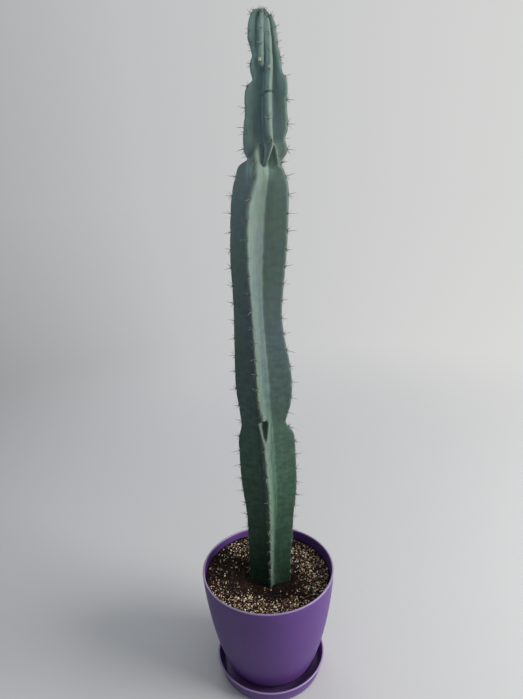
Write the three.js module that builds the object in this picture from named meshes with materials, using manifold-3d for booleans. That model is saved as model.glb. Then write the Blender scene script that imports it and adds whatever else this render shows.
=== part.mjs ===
// Potted cereus cactus: one ribbed column in a round plastic pot of gritty soil, on a round saucer.
// Millimetres, +Z up. The origin is on the pot's axis, on the surface that the saucer stands on.

import * as THREE from 'three';
import { mergeVertices } from 'three/addons/utils/BufferGeometryUtils.js';
import Module from 'manifold-3d';

const wasm = await Module();
wasm.setup();

// Driving dimensions of the saucer and the pot
const roundSides = 48;
const restGap = 0.3;
const saucerRimRadius = 67.8;
const saucerFootRadius = 62;
const saucerHeight = 20;
const saucerWall = 2.5;
const saucerFloor = 3;
const potRimRadius = 80;
const potTop = 144;
const potWall = 2.5;
const potFloor = 2.6;
const potCornerRadius = 55.3;
const potCornerHeight = 19;
const potUnderside = 5;
const footRing = { outer: 43, inner: 39 };
const drainHoles = { count: 6, radius: 2, ring: 25, sides: 12 };

// Driving dimensions of the soil
const soilLevel = 131;
const soilSlope = { x: -0.03, y: 0.035 };
const soilPit = { depth: 9, spread: 40 };
const soilRoughness = 0.6;
const soilRings = 9;
const grains = { count: 64, radius: [1.1, 1.8], flatness: 0.75, clearOfStem: 4 };

// Driving dimensions of the stem. Its skin's levels come in bands of start, end and step, closer together
// where one growth joins the next and near the tip.
const stemBottom = 70;
const capStart = 722;
const capLevels = 5;
const levelBands = [
  [stemBottom, 126, 14], [127, 308, 10], [311, 356, 4.4],
  [362, 582, 10], [585, 630, 4], [633, capStart - 2, 5.8],
];
const lowerColumns = [8, 8, 8, 8];
const upperColumns = [5, 5, 4, 5, 5, 8];
const coreRadius = 8;
const flankAngle = THREE.MathUtils.degToRad(15.6);
const steepFlankAngle = THREE.MathUtils.degToRad(5);
const crestHalfWidth = [
  [stemBottom, 1.7], [150, 1.8], [230, 2], [300, 2.1], [530, 2.3], [595, 3.3], [640, 3], [742, 2.8],
];
const areoleNotch = { depth: 0.7, width: 9 };

// Spines: every areole has one that points out and another that leans over the rib
const spineRoot = 2.6;
const spineSides = 3;
const spineApart = 1.1;
const spineKinds = [
  { width: 0.42, length: [7.5, 10.5], spread: 0.25 },
  { width: 0.36, length: [4, 6], spread: 1.1 },
];

// Heights of the stem's axis with how far it stands to the right of the pot's axis
const axisLean = [
  [stemBottom, 2.2], [131, 2.6], [235, 4.9], [298, 4], [345, 2.2], [399, 1], [459, -1.4],
  [500, -0.5], [534, 1.7], [575, 4.8], [603, 8], [625, 11.5], [673, 14.6], [703, 14.8], [742, 10],
];

// Turn of the four lower ribs about the axis, in degrees from the front towards the right
const lowerTurn = [
  [131, -1], [250, -3], [316, -6], [372, -12], [467, -14.5], [520, -20.7], [556, -22.7], [613, -20],
];

// Turn of the front rib of the two lower growths
const lowerFront = [
  [131, -1], [250, -3], [316, -6], [332, -5], [345, -5], [357, -8.5], [372, -12],
  [467, -14.5], [520, -20.7], [556, -22.7], [573, -21], [591, -15], [605, -17], [616, -25], [625, -31],
];

// Each rib: the heights between which it stands out of the core, the lengths over which it rises
// and falls, the heights of its areoles, its turn about the axis and the reach of its crest.
// Slim is a share of the full crest width, a steep rib's flanks are nearly parallel, and columns of the
// skin follow the guide ribs.
const ribs = [
  // Left rib of the two lower growths
  {
    from: stemBottom - 10, to: 614, rise: 1, fall: 8,
    areoles: areolesBetween(139.8, 609, [[131, 14.5], [290, 17.5], [360, 19.4], [600, 17.6]]),
    turn: (z) => along(lowerTurn, z) - 90,
    reach: [[131, 25.2], [211, 27.5], [259, 32], [300, 32.5], [316, 31.5], [329, 27.6], [345, 28.2],
      [376, 31.3], [433, 28.2], [459, 26.6], [485, 27.4], [516, 30.6], [545, 31.6], [575, 31.4],
      [590, 29.8], [600, 27.8], [612, 24.8]],
  },
  // Right rib of the two lower growths, with a sharp notch between them
  {
    from: stemBottom - 10, to: 611, rise: 1, fall: 36,
    areoles: areolesBetween(135, 606, [[131, 14.5], [290, 17.5], [360, 18.1], [600, 17.2]]),
    turn: (z) => along(lowerTurn, z) + 90,
    reach: [[131, 24.7], [211, 27.6], [250, 31.5], [305, 32.3], [320, 31.5], [328, 28], [335, 23.3],
      [343, 25], [357, 29.7], [376, 32.3], [399, 31.8], [433, 27.8], [459, 26.2], [485, 27.9],
      [516, 30.7], [545, 31.4], [590, 30]],
  },
  // Back rib of the two lower growths
  {
    from: stemBottom - 10, to: 612, rise: 1, fall: 40,
    areoles: areolesBetween(145.3, 608, [[131, 14.5], [290, 17.5], [360, 18.4], [600, 17.6]]),
    turn: (z) => along(lowerTurn, z) + 180,
    reach: [[131, 25], [211, 27.5], [255, 31.5], [305, 32], [325, 29], [336, 26], [350, 28.5],
      [376, 31.5], [433, 28], [459, 26.5], [485, 27.6], [516, 30.5], [545, 31.5], [590, 30]],
  },
  // Front rib of the lowest growth
  {
    from: stemBottom - 10, to: 332, rise: 1, fall: 12,
    areoles: areolesBetween(135.7, 328, [[131, 13.4], [164, 15.3], [195, 15.2], [209, 13.5], [240, 14.3],
      [315, 18]]),
    slim: (z) => along([[131, 0.85], [280, 1]], z),
    turn: (z) => along(lowerFront, z),
    reach: [[131, 13], [150, 16], [175, 21], [211, 26.5], [250, 31], [300, 32.2], [320, 31]],
  },
  // Left arm of the fork over it
  {
    from: 312, to: 347, rise: 10, fall: 4,
    slim: () => 0.7,
    turn: (z) => along([[312, -6], [330, -10], [347, -17]], z),
    reach: [[312, 30], [328, 29], [347, 27]],
  },
  // Right arm of the fork over it
  {
    from: 312, to: 347, rise: 10, fall: 4,
    slim: () => 0.45,
    turn: (z) => along([[312, -5], [330, 3], [347, 9]], z),
    reach: [[312, 30], [328, 28.5], [347, 26.5]],
  },
  // Front rib of the second growth, which bends left where the narrow growth leaves it
  {
    from: 343, to: 627, rise: 6, fall: 12,
    areoles: areolesBetween(352.6, 622, [[360, 15.7], [575, 18.6], [589, 15.5], [620, 15.5]]),
    slim: (z) => along([[343, 1.2], [360, 1], [575, 1], [597, 1.3], [612, 0.85], [625, 0.55]], z),
    turn: (z) => along(lowerFront, z),
    reach: [[343, 28], [357, 29.3], [376, 31.3], [400, 30.3], [433, 27.6], [459, 26.6], [485, 27.6],
      [516, 30.6], [545, 31.9], [573, 31], [590, 28.3], [606, 23.8], [625, 21.5]],
  },
  // Front rib of the upper growth
  {
    from: 604, to: 745, rise: 8, fall: 2, guide: true, steep: true,
    areoles: [627.7, 647.6, 672, 691.3, 705.5, 719.9, 732],
    slim: (z) => along([[604, 0.4], [622, 0.45], [631, 1], [645, 1.15]], z),
    turn: (z) => along([[600, 4], [610, 9], [618, 14], [625, 17], [632, 11], [645, 5], [660, 3], [673, 2],
      [691, 8], [705, 11], [718, 16], [740, 20]], z),
    reach: [[604, 22], [615, 22], [628, 21.4], [645, 22], [673, 20.3], [684, 16.8], [700, 15.2],
      [722, 14.7]],
  },
  // Short ridge at the upper growth's foot
  {
    from: 603, to: 627, rise: 8, fall: 9,
    slim: () => 0.5,
    turn: (z) => along([[603, 58], [609, 50], [614, 42], [620, 35.5], [627, 34]], z),
    reach: [[603, 20.5], [627, 18.5]],
  },
  // Right rib of the upper growth
  {
    from: 590, to: 745, rise: 8, fall: 2, guide: true,
    areoles: [608.6, 621.2, 643.5, 664.7, 683.9, 699.8, 712, 724.4, 734],
    turn: (z) => along([[590, 82], [645, 76], [676, 66], [700, 54], [740, 50]], z),
    reach: [[590, 17], [611, 19], [620, 23], [630, 19.2], [640, 21.6], [657, 20.3], [682, 20.6], [688, 16.6],
      [694, 15.8], [700, 16.2], [707, 14.4], [722, 15]],
  },
  // Right back rib of the upper growth
  {
    from: 590, to: 745, rise: 8, fall: 2, guide: true,
    areoles: [614, 632, 650.9, 668, 685, 698, 709.7, 722, 733],
    turn: (z) => along([[590, 128], [660, 126], [690, 108], [740, 104]], z),
    reach: [[590, 17], [612, 18.5], [622, 21.5], [640, 22.5], [676, 20], [686, 15], [694, 14.8],
      [706, 13.4], [722, 12.8]],
  },
  // Back rib of the upper growth
  {
    from: 590, to: 745, rise: 8, fall: 2, guide: true,
    areoles: [618, 638, 657, 675, 692, 706, 719, 731],
    turn: (z) => along([[590, 188], [660, 186], [695, 166], [740, 160]], z),
    reach: [[590, 17], [612, 18.5], [624, 22], [640, 22.5], [676, 20.4], [686, 16], [694, 17],
      [706, 14], [722, 15]],
  },
  // Left back rib of the upper growth
  {
    from: 590, to: 745, rise: 8, fall: 2, guide: true,
    areoles: [623.8, 643.2, 662, 679, 696, 710, 723, 733],
    turn: (z) => along([[590, -112], [660, -114], [740, -120]], z),
    reach: [[590, 16], [614, 17.6], [622, 22.6], [647, 23.6], [656, 21.5], [662, 18.6], [678, 18], [684, 15],
      [694, 17], [702, 13.8], [709, 14.6], [722, 14.8]],
  },
  // Left rib of the upper growth
  {
    from: 590, to: 745, rise: 8, fall: 2, guide: true,
    areoles: [616, 636, 657, 676.3, 694.5, 710, 722, 732],
    turn: (z) => along([[590, -56], [650, -58], [690, -57], [705, -53], [740, -50]], z),
    slim: (z) => along([[684, 1], [702, 1.5]], z),
    reach: [[590, 15], [611, 17], [628, 22], [647, 23.4], [676, 23], [682, 15.8], [688, 17.6], [694, 18.9],
      [698, 17.8], [702, 15.4], [708, 16.9], [715, 18.5], [722, 17.9]],
  },
  // Rib that starts high on the upper growth
  {
    from: 689, to: 745, rise: 9, fall: 2, steep: true,
    areoles: [697.4, 711, 723, 733.5],
    turn: (z) => along([[689, -21], [697, -23], [705, -20.5], [713, -16], [721, -12], [740, -7]], z),
    reach: [[689, 17.6], [697, 17.2], [722, 15]],
  },
];

// Height where the columns change from the lower growths' ribs to those of the upper one
const growthJoint = 611;
const upperGuides = ribs.filter((rib) => rib.guide);

// Heights of the rib tops round the growing point, by turn: the left ones stand highest
const capRise = { valley: 12.5, centre: 19, spread: 17, span: 24, tilt: 8 };
const capCrests = [
  { turn: -51, rise: 22.5 }, { turn: -8, rise: 20.5 }, { turn: 20, rise: 17 }, { turn: 50, rise: 16 },
  { turn: 104, rise: 16 }, { turn: 160, rise: 18 }, { turn: -120, rise: 20.5 },
];

// A repeatable row of draws between 0 and 1
function draws(seed) {
  let state = seed;
  return () => {
    state = (state * 1664525 + 1013904223) % 4294967296;
    return state / 4294967296;
  };
}

// Value at a height on the smooth line through [height, value] points
function along(points, height) {
  const last = points.length - 1;
  if (height <= points[0][0]) return points[0][1];
  if (height >= points[last][0]) return points[last][1];
  let i = 0;
  while (points[i + 1][0] < height) i += 1;
  const slopeAt = (k) => {
    const before = points[Math.max(k - 1, 0)];
    const after = points[Math.min(k + 1, last)];
    return (after[1] - before[1]) / (after[0] - before[0]);
  };
  const step = points[i + 1][0] - points[i][0];
  const t = (height - points[i][0]) / step;
  const fromStart = (1 + 2 * t) * (1 - t) ** 2 * points[i][1] + t * (1 - t) ** 2 * step * slopeAt(i);
  const toEnd = t * t * (3 - 2 * t) * points[i + 1][1] - t * t * (1 - t) * step * slopeAt(i + 1);
  return fromStart + toEnd;
}

// The direction in plan of a turn in degrees, counted from the front (-Y) towards the right (+X)
function direction(turn) {
  const angle = THREE.MathUtils.degToRad(turn);
  return new THREE.Vector3(Math.sin(angle), -Math.cos(angle), 0);
}

// A turn brought between -180 and 180 degrees
function wrapTurn(turn) {
  return THREE.MathUtils.euclideanModulo(turn + 180, 360) - 180;
}

// Share of its full reach that a rib has at a height: a rounded rise at its foot and a rounded shoulder
function ribShare(rib, height) {
  if (height <= rib.from || height >= rib.to) return 0;
  const up = Math.min((height - rib.from) / rib.rise, 1);
  const down = Math.min((rib.to - height) / rib.fall, 1);
  return Math.sqrt(1 - (1 - up) ** 2) * Math.sqrt(1 - (1 - down) ** 2);
}

// Heights of a rib's areoles up to its top, where the gap over each follows [height, gap] points
function areolesBetween(first, top, gaps) {
  const heights = [];
  for (let height = first; height < top; height += along(gaps, height)) heights.push(height);
  return heights;
}

// Distance of a rib's crest from the axis, with a notch at each areole
function crestReach(rib, height) {
  const reach = coreRadius + (along(rib.reach, height) - coreRadius) * ribShare(rib, height);
  if (!rib.areoles) return reach;
  const fromAreole = Math.min(...rib.areoles.map((areole) => Math.abs(height - areole)));
  return reach - areoleNotch.depth * Math.cos(Math.PI * Math.min(fromAreole / areoleNotch.width, 0.5));
}

// Distance from the axis to one rib's surface at a height and turn: a round edge on flat flanks
function ribSurface(rib, height, turn, margin) {
  const reach = crestReach(rib, height);
  const halfWidth = along(crestHalfWidth, height) * (rib.slim ? rib.slim(height) : 1);
  const wedge = rib.steep ? steepFlankAngle : flankAngle;
  const off = THREE.MathUtils.degToRad(Math.abs(wrapTurn(turn - rib.turn(height))));
  const edgeCentre = reach - halfWidth;
  const edgeRadius = halfWidth + margin;
  const flankDistance = edgeCentre * Math.sin(wedge) + edgeRadius;
  const lean = Math.min(off + wedge, Math.PI / 2);
  const flank = flankDistance / Math.sin(lean) * Math.cos(Math.max(off + wedge - Math.PI / 2, 0) / 2);
  const tangentReach = edgeCentre + edgeRadius * Math.sin(wedge);
  if (off > Math.atan2(edgeRadius * Math.cos(wedge), tangentReach)) return flank;
  return edgeCentre * Math.cos(off) + Math.sqrt(edgeRadius ** 2 - (edgeCentre * Math.sin(off)) ** 2);
}

// Distance from the axis to the stem's surface at a height and turn, all ribs blended in crisp valleys
function stemSurface(height, turn, margin = 0) {
  const sharpness = 14;
  let sum = (coreRadius + margin) ** sharpness;
  for (const rib of ribs) {
    if (ribShare(rib, height) === 0) continue;
    sum += ribSurface(rib, height, turn, margin) ** sharpness;
  }
  return sum ** (1 / sharpness);
}

// How much narrower the buried end of the stem is at a height: it closes to a blunt root
function rootTaper(height) {
  const t = THREE.MathUtils.clamp((height - stemBottom) / 45, 0, 1);
  return 0.35 + 0.65 * Math.sqrt(1 - (1 - t) ** 2);
}

// Turns that the columns of a level follow: the four lower crests, or six upper ones above the waist
function guideTurns(height) {
  if (height < growthJoint) {
    const front = along(lowerFront, height);
    const others = along(lowerTurn, height);
    return [front, others + 90, others + 180, others + 270];
  }
  return upperGuides.map((rib) => THREE.MathUtils.euclideanModulo(rib.turn(height), 360));
}

// Turns of one level's points: on each guide, and between guides closer where the outline is long or bends
function spreadTurns(height) {
  const samples = 120;
  const bendWeight = 4;
  const guides = guideTurns(height);
  const columns = height < growthJoint ? lowerColumns : upperColumns;
  const turns = [];
  guides.forEach((start, sector) => {
    const end = sector + 1 < guides.length ? guides[sector + 1] : guides[0] + 360;
    const turnAt = (i) => start + ((end - start) * i) / samples;
    const outline = [];
    for (let i = 0; i <= samples; i += 1) {
      outline.push(direction(turnAt(i)).multiplyScalar(stemSurface(height, turnAt(i))));
    }
    const total = [0];
    let heading = 0;
    for (let i = 1; i <= samples; i += 1) {
      const stride = outline[i].clone().sub(outline[i - 1]);
      const newHeading = THREE.MathUtils.radToDeg(Math.atan2(stride.y, stride.x));
      const bend = i === 1 ? 0 : Math.abs(wrapTurn(newHeading - heading));
      heading = newHeading;
      total.push(total[i - 1] + stride.length() + bendWeight * THREE.MathUtils.degToRad(bend));
    }
    let i = 0;
    for (let point = 0; point < columns[sector]; point += 1) {
      const target = (total[samples] * point) / columns[sector];
      while (total[i + 1] < target) i += 1;
      turns.push(turnAt(i + (target - total[i]) / (total[i + 1] - total[i])));
    }
  });
  return turns;
}

// Heights of the stem's levels below its cap
function stemLevels() {
  const heights = [];
  for (const [start, end, step] of levelBands) {
    for (let height = start; height < end; height += step) heights.push(height);
  }
  heights.push(capStart);
  return heights;
}

// A point on the stem at a height and turn
function stemPoint(height, turn, margin = 0) {
  const bare = stemSurface(height, turn);
  const radius = bare * rootTaper(height) + stemSurface(height, turn, margin) - bare;
  return direction(turn).multiplyScalar(radius).add(new THREE.Vector3(along(axisLean, height), 0, height));
}

// A point on the rounded cap, where the crests roll over into the growing point; part is 1 at the centre
function capPoint(part, turn) {
  let rise = capRise.valley;
  for (const crest of capCrests) {
    const off = wrapTurn(turn - crest.turn) / capRise.spread;
    rise = Math.max(rise, capRise.valley + (crest.rise - capRise.valley) * Math.exp(-off * off));
  }
  const angle = (part * Math.PI) / 2;
  const inward = THREE.MathUtils.smoothstep(part, 0.45, 1);
  const height = capStart + THREE.MathUtils.lerp(rise, capRise.centre, inward) * Math.sin(angle);
  const radius = stemSurface(capStart, turn) * Math.cos(angle);
  return direction(turn).multiplyScalar(radius).add(new THREE.Vector3(along(axisLean, capStart), 0, height));
}

// A closed skin through levels of points, top first: a sphere's rows and poles are moved onto them
function skin(levels, topPoint, bottomPoint) {
  const columns = levels[0].length;
  const geometry = new THREE.SphereGeometry(1, columns, levels.length + 1);
  const position = geometry.attributes.position;
  for (let row = 0; row <= levels.length + 1; row += 1) {
    for (let column = 0; column <= columns; column += 1) {
      let point = topPoint;
      if (row === levels.length + 1) point = bottomPoint;
      else if (row > 0) point = levels[row - 1][column % columns];
      position.setXYZ(row * (columns + 1) + column, point.x, point.y, point.z);
    }
  }
  return geometry;
}

// A geometry as a solid for joining and cutting
function solidOf(geometry) {
  const plain = geometry.clone();
  plain.deleteAttribute('normal');
  plain.deleteAttribute('uv');
  const merged = mergeVertices(plain, 1e-4);
  const corners = merged.index.array;
  const kept = [];
  for (let i = 0; i < corners.length; i += 3) {
    const [a, b, c] = [corners[i], corners[i + 1], corners[i + 2]];
    if (a !== b && b !== c && c !== a) kept.push(a, b, c);
  }
  const vertProperties = new Float32Array(merged.attributes.position.array);
  return new wasm.Manifold(new wasm.Mesh({ numProp: 3, vertProperties, triVerts: new Uint32Array(kept) }));
}

// A solid as a geometry
function geometryOf(solid) {
  const mesh = solid.getMesh();
  const geometry = new THREE.BufferGeometry();
  geometry.setAttribute('position', new THREE.BufferAttribute(mesh.vertProperties.slice(), 3));
  geometry.setIndex(new THREE.BufferAttribute(mesh.triVerts.slice(), 1));
  geometry.computeVertexNormals();
  return geometry;
}

// A named piece in its material
function piece(name, geometry, look) {
  const mesh = new THREE.Mesh(geometry, new THREE.MeshStandardMaterial({ metalness: 0, ...look }));
  mesh.name = name;
  return mesh;
}

// The stem's skin; with a margin it is the hole that the stem stands in
function stemSkin(margin) {
  const levels = [];
  for (const height of stemLevels()) {
    if (margin > 0 && height > soilLevel + 20) break;
    const turns = spreadTurns(height);
    levels.unshift(turns.map((turn) => stemPoint(height, turn, margin)));
  }
  const lean = along(axisLean, stemBottom);
  const bottomPoint = new THREE.Vector3(lean, 0, stemBottom - 2 - margin);
  if (margin > 0) return skin(levels, new THREE.Vector3(lean, 0, levels[0][0].z + 1), bottomPoint);
  const turns = spreadTurns(capStart);
  for (let level = 1; level < capLevels; level += 1) {
    levels.unshift(turns.map((turn) => capPoint(level / capLevels, turn)));
  }
  return skin(levels, capPoint(1, 0), bottomPoint);
}

// One spine from its root in the rib to its point
function spine(root, way, length, width) {
  const geometry = new THREE.ConeGeometry(width, length + spineRoot, spineSides);
  geometry.translate(0, (length + spineRoot) / 2 - spineRoot, 0);
  const turned = new THREE.Quaternion().setFromUnitVectors(new THREE.Vector3(0, 1, 0), way);
  return geometry.applyQuaternion(turned).translate(root.x, root.y, root.z);
}

// The spines of one areole, each turned round its outward way by a draw
function areoleSpines(rib, height, random) {
  const turn = rib.turn(height);
  const overCap = Math.max(height - capStart, 0);
  const root = overCap > 0 ? capPoint(overCap / capRise.span, turn) : stemPoint(height, turn);
  const out = direction(turn).setZ(overCap / capRise.tilt).normalize();
  const side = new THREE.Vector3(0, 0, 1).cross(direction(turn));
  const up = out.clone().cross(side);
  return spineKinds.map((kind, i) => {
    const round = 2 * Math.PI * random();
    const lean = up.clone().multiplyScalar(Math.sin(round)).addScaledVector(side, Math.cos(round));
    const way = out.clone().addScaledVector(lean, kind.spread).normalize();
    const length = THREE.MathUtils.lerp(kind.length[0], kind.length[1], random());
    const foot = root.clone().addScaledVector(lean, i * spineApart);
    return spine(foot, way, length, kind.width);
  });
}

// The stem with its spines, one grown piece
function cactus() {
  const random = draws(20);
  let solid = solidOf(stemSkin(0));
  for (const rib of ribs) {
    for (const height of rib.areoles ?? []) {
      for (const geometry of areoleSpines(rib, height, random)) solid = solid.add(solidOf(geometry));
    }
  }
  return piece('cactus', geometryOf(solid), { color: 0x4a6a62, roughness: 0.55 });
}

// Radius of the pot's outside at each share of its wall, from the corner up to the rim
function potWallPoint(share, inset) {
  const curve = new THREE.CubicBezierCurve(
    new THREE.Vector2(potCornerRadius - inset, potCornerHeight),
    new THREE.Vector2(68.5 - inset, 48),
    new THREE.Vector2(77 - inset, 98),
    new THREE.Vector2(potRimRadius - inset, potTop),
  );
  return curve.getPoint(share);
}

// Points of the wall's curve from the corner up to a share of the rim
function potWallLine(inset, steps, topShare) {
  const points = [];
  for (let i = 0; i <= steps; i += 1) points.push(potWallPoint((topShare * i) / steps, inset));
  return points;
}

// Points of a rounded corner between two levels, from the wall's foot in to the underside
function potCorner(inset, floorHeight, steps) {
  const foot = potWallPoint(0, inset);
  const curve = new THREE.QuadraticBezierCurve(
    foot,
    new THREE.Vector2(foot.x - (foot.y - floorHeight) * 0.46, floorHeight),
    new THREE.Vector2(foot.x - (foot.y - floorHeight) - 2, floorHeight),
  );
  return curve.getPoints(steps);
}

// Points of a rounded rim, from its outer side over to its inner side
function roundRim(outerRadius, wall, top, steps) {
  const points = [];
  for (let i = 0; i <= steps; i += 1) {
    const angle = (Math.PI * i) / steps;
    points.push(new THREE.Vector2(
      outerRadius - wall / 2 + (wall / 2) * Math.cos(angle),
      top - wall / 2 + (wall / 2) * Math.sin(angle),
    ));
  }
  return points;
}

// The pot: a thin rounded cup on a foot ring, with small drain holes in its floor
function pot() {
  const footBottom = saucerFloor + restGap;
  const floorTop = potUnderside + potFloor;
  const topShare = 0.99;
  const profile = [
    new THREE.Vector2(0, potUnderside),
    new THREE.Vector2(footRing.inner, potUnderside),
    new THREE.Vector2(footRing.inner + 0.4, footBottom),
    new THREE.Vector2(footRing.outer - 0.8, footBottom),
    new THREE.Vector2(footRing.outer, potUnderside),
    ...potCorner(0, potUnderside, 3).reverse().slice(1, -1),
    ...potWallLine(0, 5, topShare),
    ...roundRim(potRimRadius, potWall, potTop, 4).slice(1, -1),
    ...potWallLine(potWall, 5, topShare).reverse(),
    ...potCorner(potWall, floorTop, 3).slice(1),
    new THREE.Vector2(0, floorTop),
  ];
  let solid = solidOf(new THREE.LatheGeometry(profile, roundSides).rotateX(Math.PI / 2));
  for (let i = 0; i < drainHoles.count; i += 1) {
    const centre = direction((360 * i) / drainHoles.count).multiplyScalar(drainHoles.ring);
    const { radius, sides } = drainHoles;
    const hole = new THREE.CylinderGeometry(radius, radius, 4 * potFloor, sides);
    hole.rotateX(Math.PI / 2).translate(centre.x, centre.y, potUnderside + potFloor / 2);
    solid = solid.subtract(solidOf(hole));
  }
  return piece('pot', geometryOf(solid), { color: 0x5b4383, roughness: 0.5 });
}

// The saucer: a flat round dish with a flared wall and a rounded rim
function saucer() {
  const corner = new THREE.QuadraticBezierCurve(
    new THREE.Vector2(saucerFootRadius - 4, 0),
    new THREE.Vector2(saucerFootRadius + 0.5, 0),
    new THREE.Vector2(saucerFootRadius + 1.5, 4.5),
  );
  const innerCorner = new THREE.QuadraticBezierCurve(
    new THREE.Vector2(saucerFootRadius - 0.6, 6.5),
    new THREE.Vector2(saucerFootRadius - 1.6, saucerFloor),
    new THREE.Vector2(saucerFootRadius - 5.5, saucerFloor),
  );
  const profile = [
    new THREE.Vector2(0, 0),
    ...corner.getPoints(3),
    ...roundRim(saucerRimRadius, saucerWall, saucerHeight, 4),
    ...innerCorner.getPoints(3),
    new THREE.Vector2(0, saucerFloor),
  ];
  const solid = solidOf(new THREE.LatheGeometry(profile, roundSides).rotateX(Math.PI / 2));
  return piece('saucer', geometryOf(solid), { color: 0x6b4488, roughness: 0.5 });
}

// Height of the soil's surface, which dips round the stem, before its crumbs
function soilHeight(x, y) {
  const swell = 0.9 * Math.sin(0.07 * x + 1.1) * Math.cos(0.06 * y - 0.6);
  const fromStem = Math.hypot(x - along(axisLean, soilLevel), y) / soilPit.spread;
  const pit = soilPit.depth * Math.exp(-(fromStem ** 4));
  return soilLevel + soilSlope.x * x + soilSlope.y * y + swell - pit;
}

// The soil's skin: crumbs raised over its top, then down the pot's wall to its floor
function soilSkin(random) {
  const inset = potWall + restGap + 0.1;
  const floorHeight = potUnderside + potFloor + restGap;
  const wallShare = 0.9;
  const levels = [];
  const ring = (radius, heightAt) => {
    const points = [];
    for (let i = 0; i < roundSides; i += 1) {
      const place = direction((360 * i) / roundSides).multiplyScalar(radius);
      place.z = heightAt(place);
      points.push(place);
    }
    return points;
  };
  const edgeRadius = potWallPoint(wallShare, inset).x;
  for (let i = 1; i <= soilRings; i += 1) {
    const crumbs = i === soilRings ? 0 : soilRoughness;
    const heightAt = (place) => soilHeight(place.x, place.y) + crumbs * (2 * random() - 1);
    levels.push(ring((edgeRadius * i) / soilRings, heightAt));
  }
  const lowerWall = potWallLine(inset, 5, wallShare * 0.93).reverse();
  for (const point of lowerWall) levels.push(ring(point.x, () => point.y));
  const corner = potCorner(inset, floorHeight, 3).slice(1);
  for (const point of corner) levels.push(ring(point.x, () => point.y));
  const topPoint = new THREE.Vector3(0, 0, soilHeight(0, 0));
  return skin(levels, topPoint, new THREE.Vector3(0, 0, floorHeight));
}

// The soil with its coarse grains, and the plain hole that the stem stands in
function soil() {
  const random = draws(7);
  let solid = solidOf(soilSkin(random));
  const edge = potRimRadius - potWall - 6;
  for (let placed = 0; placed < grains.count;) {
    const turn = 360 * random();
    const place = direction(turn).multiplyScalar(edge * Math.sqrt(random()));
    const fromStem = place.clone().sub(new THREE.Vector3(along(axisLean, soilLevel), 0, 0));
    const stemTurn = THREE.MathUtils.radToDeg(Math.atan2(fromStem.x, -fromStem.y));
    if (fromStem.length() < stemSurface(soilLevel, stemTurn) + grains.clearOfStem) continue;
    const size = THREE.MathUtils.lerp(grains.radius[0], grains.radius[1], random());
    const grain = new THREE.OctahedronGeometry(size);
    grain.rotateX(6 * random()).rotateY(6 * random()).scale(1, 1, grains.flatness);
    grain.translate(place.x, place.y, soilHeight(place.x, place.y) - 0.1);
    solid = solid.add(solidOf(grain));
    placed += 1;
  }
  solid = solid.subtract(solidOf(stemSkin(restGap)));
  return piece('soil', geometryOf(solid), { color: 0x2b211b, roughness: 0.95 });
}

const pottedCereus = new THREE.Group();
pottedCereus.add(saucer(), pot(), soil(), cactus());

export default pottedCereus;
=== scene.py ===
# Potted cereus cactus: the stem's skin, areoles and spines, the gritty soil, the pot and the saucer.
# Driving dimensions are millimetres and degrees. MM turns a length to the scene's metres.

import math

import bpy
import numpy as np
from mathutils import Matrix, Vector, noise


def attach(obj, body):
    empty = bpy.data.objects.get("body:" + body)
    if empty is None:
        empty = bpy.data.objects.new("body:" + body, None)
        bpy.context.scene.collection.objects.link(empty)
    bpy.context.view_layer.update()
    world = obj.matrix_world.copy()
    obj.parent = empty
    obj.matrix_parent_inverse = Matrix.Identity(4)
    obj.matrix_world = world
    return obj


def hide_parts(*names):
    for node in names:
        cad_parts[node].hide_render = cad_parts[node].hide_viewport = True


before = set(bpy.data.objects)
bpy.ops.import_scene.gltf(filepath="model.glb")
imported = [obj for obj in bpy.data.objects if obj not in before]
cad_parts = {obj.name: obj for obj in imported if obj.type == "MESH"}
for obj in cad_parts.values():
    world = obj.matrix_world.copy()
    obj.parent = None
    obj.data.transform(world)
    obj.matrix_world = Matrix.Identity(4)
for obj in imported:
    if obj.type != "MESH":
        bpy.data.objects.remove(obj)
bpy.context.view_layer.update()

MM = 0.001

# The studio: the backdrop's own light away from the window and on its side, which the floor fades into, the
# window on the right, a weak fill for the plant's top and a weak light on its back
BACKDROP = {"away": "#888A8C", "middle": "#BFC0C1", "window_side": "#E0E0DE"}
FLOOR_FADE = (0.3, 1.6)
WINDOW = {
    "place": (1.5, -0.42, 0.75), "target": (0, 0, 0.35), "size": (1.0, 1.3),
    "power": 48, "spread": 180, "colour": "#FFF8F0",
}
FILL = {
    "place": (-0.5, -0.5, 0.95), "target": (0, 0, 0.8), "size": (0.35, 0.35),
    "power": 0.56, "spread": 46, "colour": "#EEF4FA",
}
BACK_LIGHT = {
    "place": (-0.45, 1.5, 0.85), "target": (0, 0, 0.35), "size": (1.0, 1.0),
    "power": 7, "spread": 180, "colour": "#F4F6FA",
}

# The camera, in metres and degrees, with its focal length in pixels of an image of this height
CAMERA = {
    "place": (0, -0.5443, 0.5778), "pitch": 16.2, "roll": -1.99, "yaw": 0.12, "focal": 525, "height": 699,
}

# Driving dimensions of the saucer and the pot
ROUND_SIDES = 144
REST_GAP = 0.3
SAUCER_RIM_RADIUS = 67.8
SAUCER_FOOT_RADIUS = 62
SAUCER_HEIGHT = 20
SAUCER_WALL = 2.5
SAUCER_FLOOR = 3
POT_RIM_RADIUS = 80
POT_TOP = 144
POT_WALL = 2.5
POT_FLOOR = 2.6
POT_WALL_LINE = [(55.3, 19), (68.5, 48), (77, 98), (POT_RIM_RADIUS, POT_TOP)]
POT_RIM_SHARE = 0.985
POT_CORNER = {"bend": 0.46, "past": 2}
POT_UNDERSIDE = 5
FOOT_RING = {"outer": 43, "inner": 39}
DRAIN_HOLES = {"count": 6, "radius": 2, "ring": 25, "sides": 24}

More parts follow.
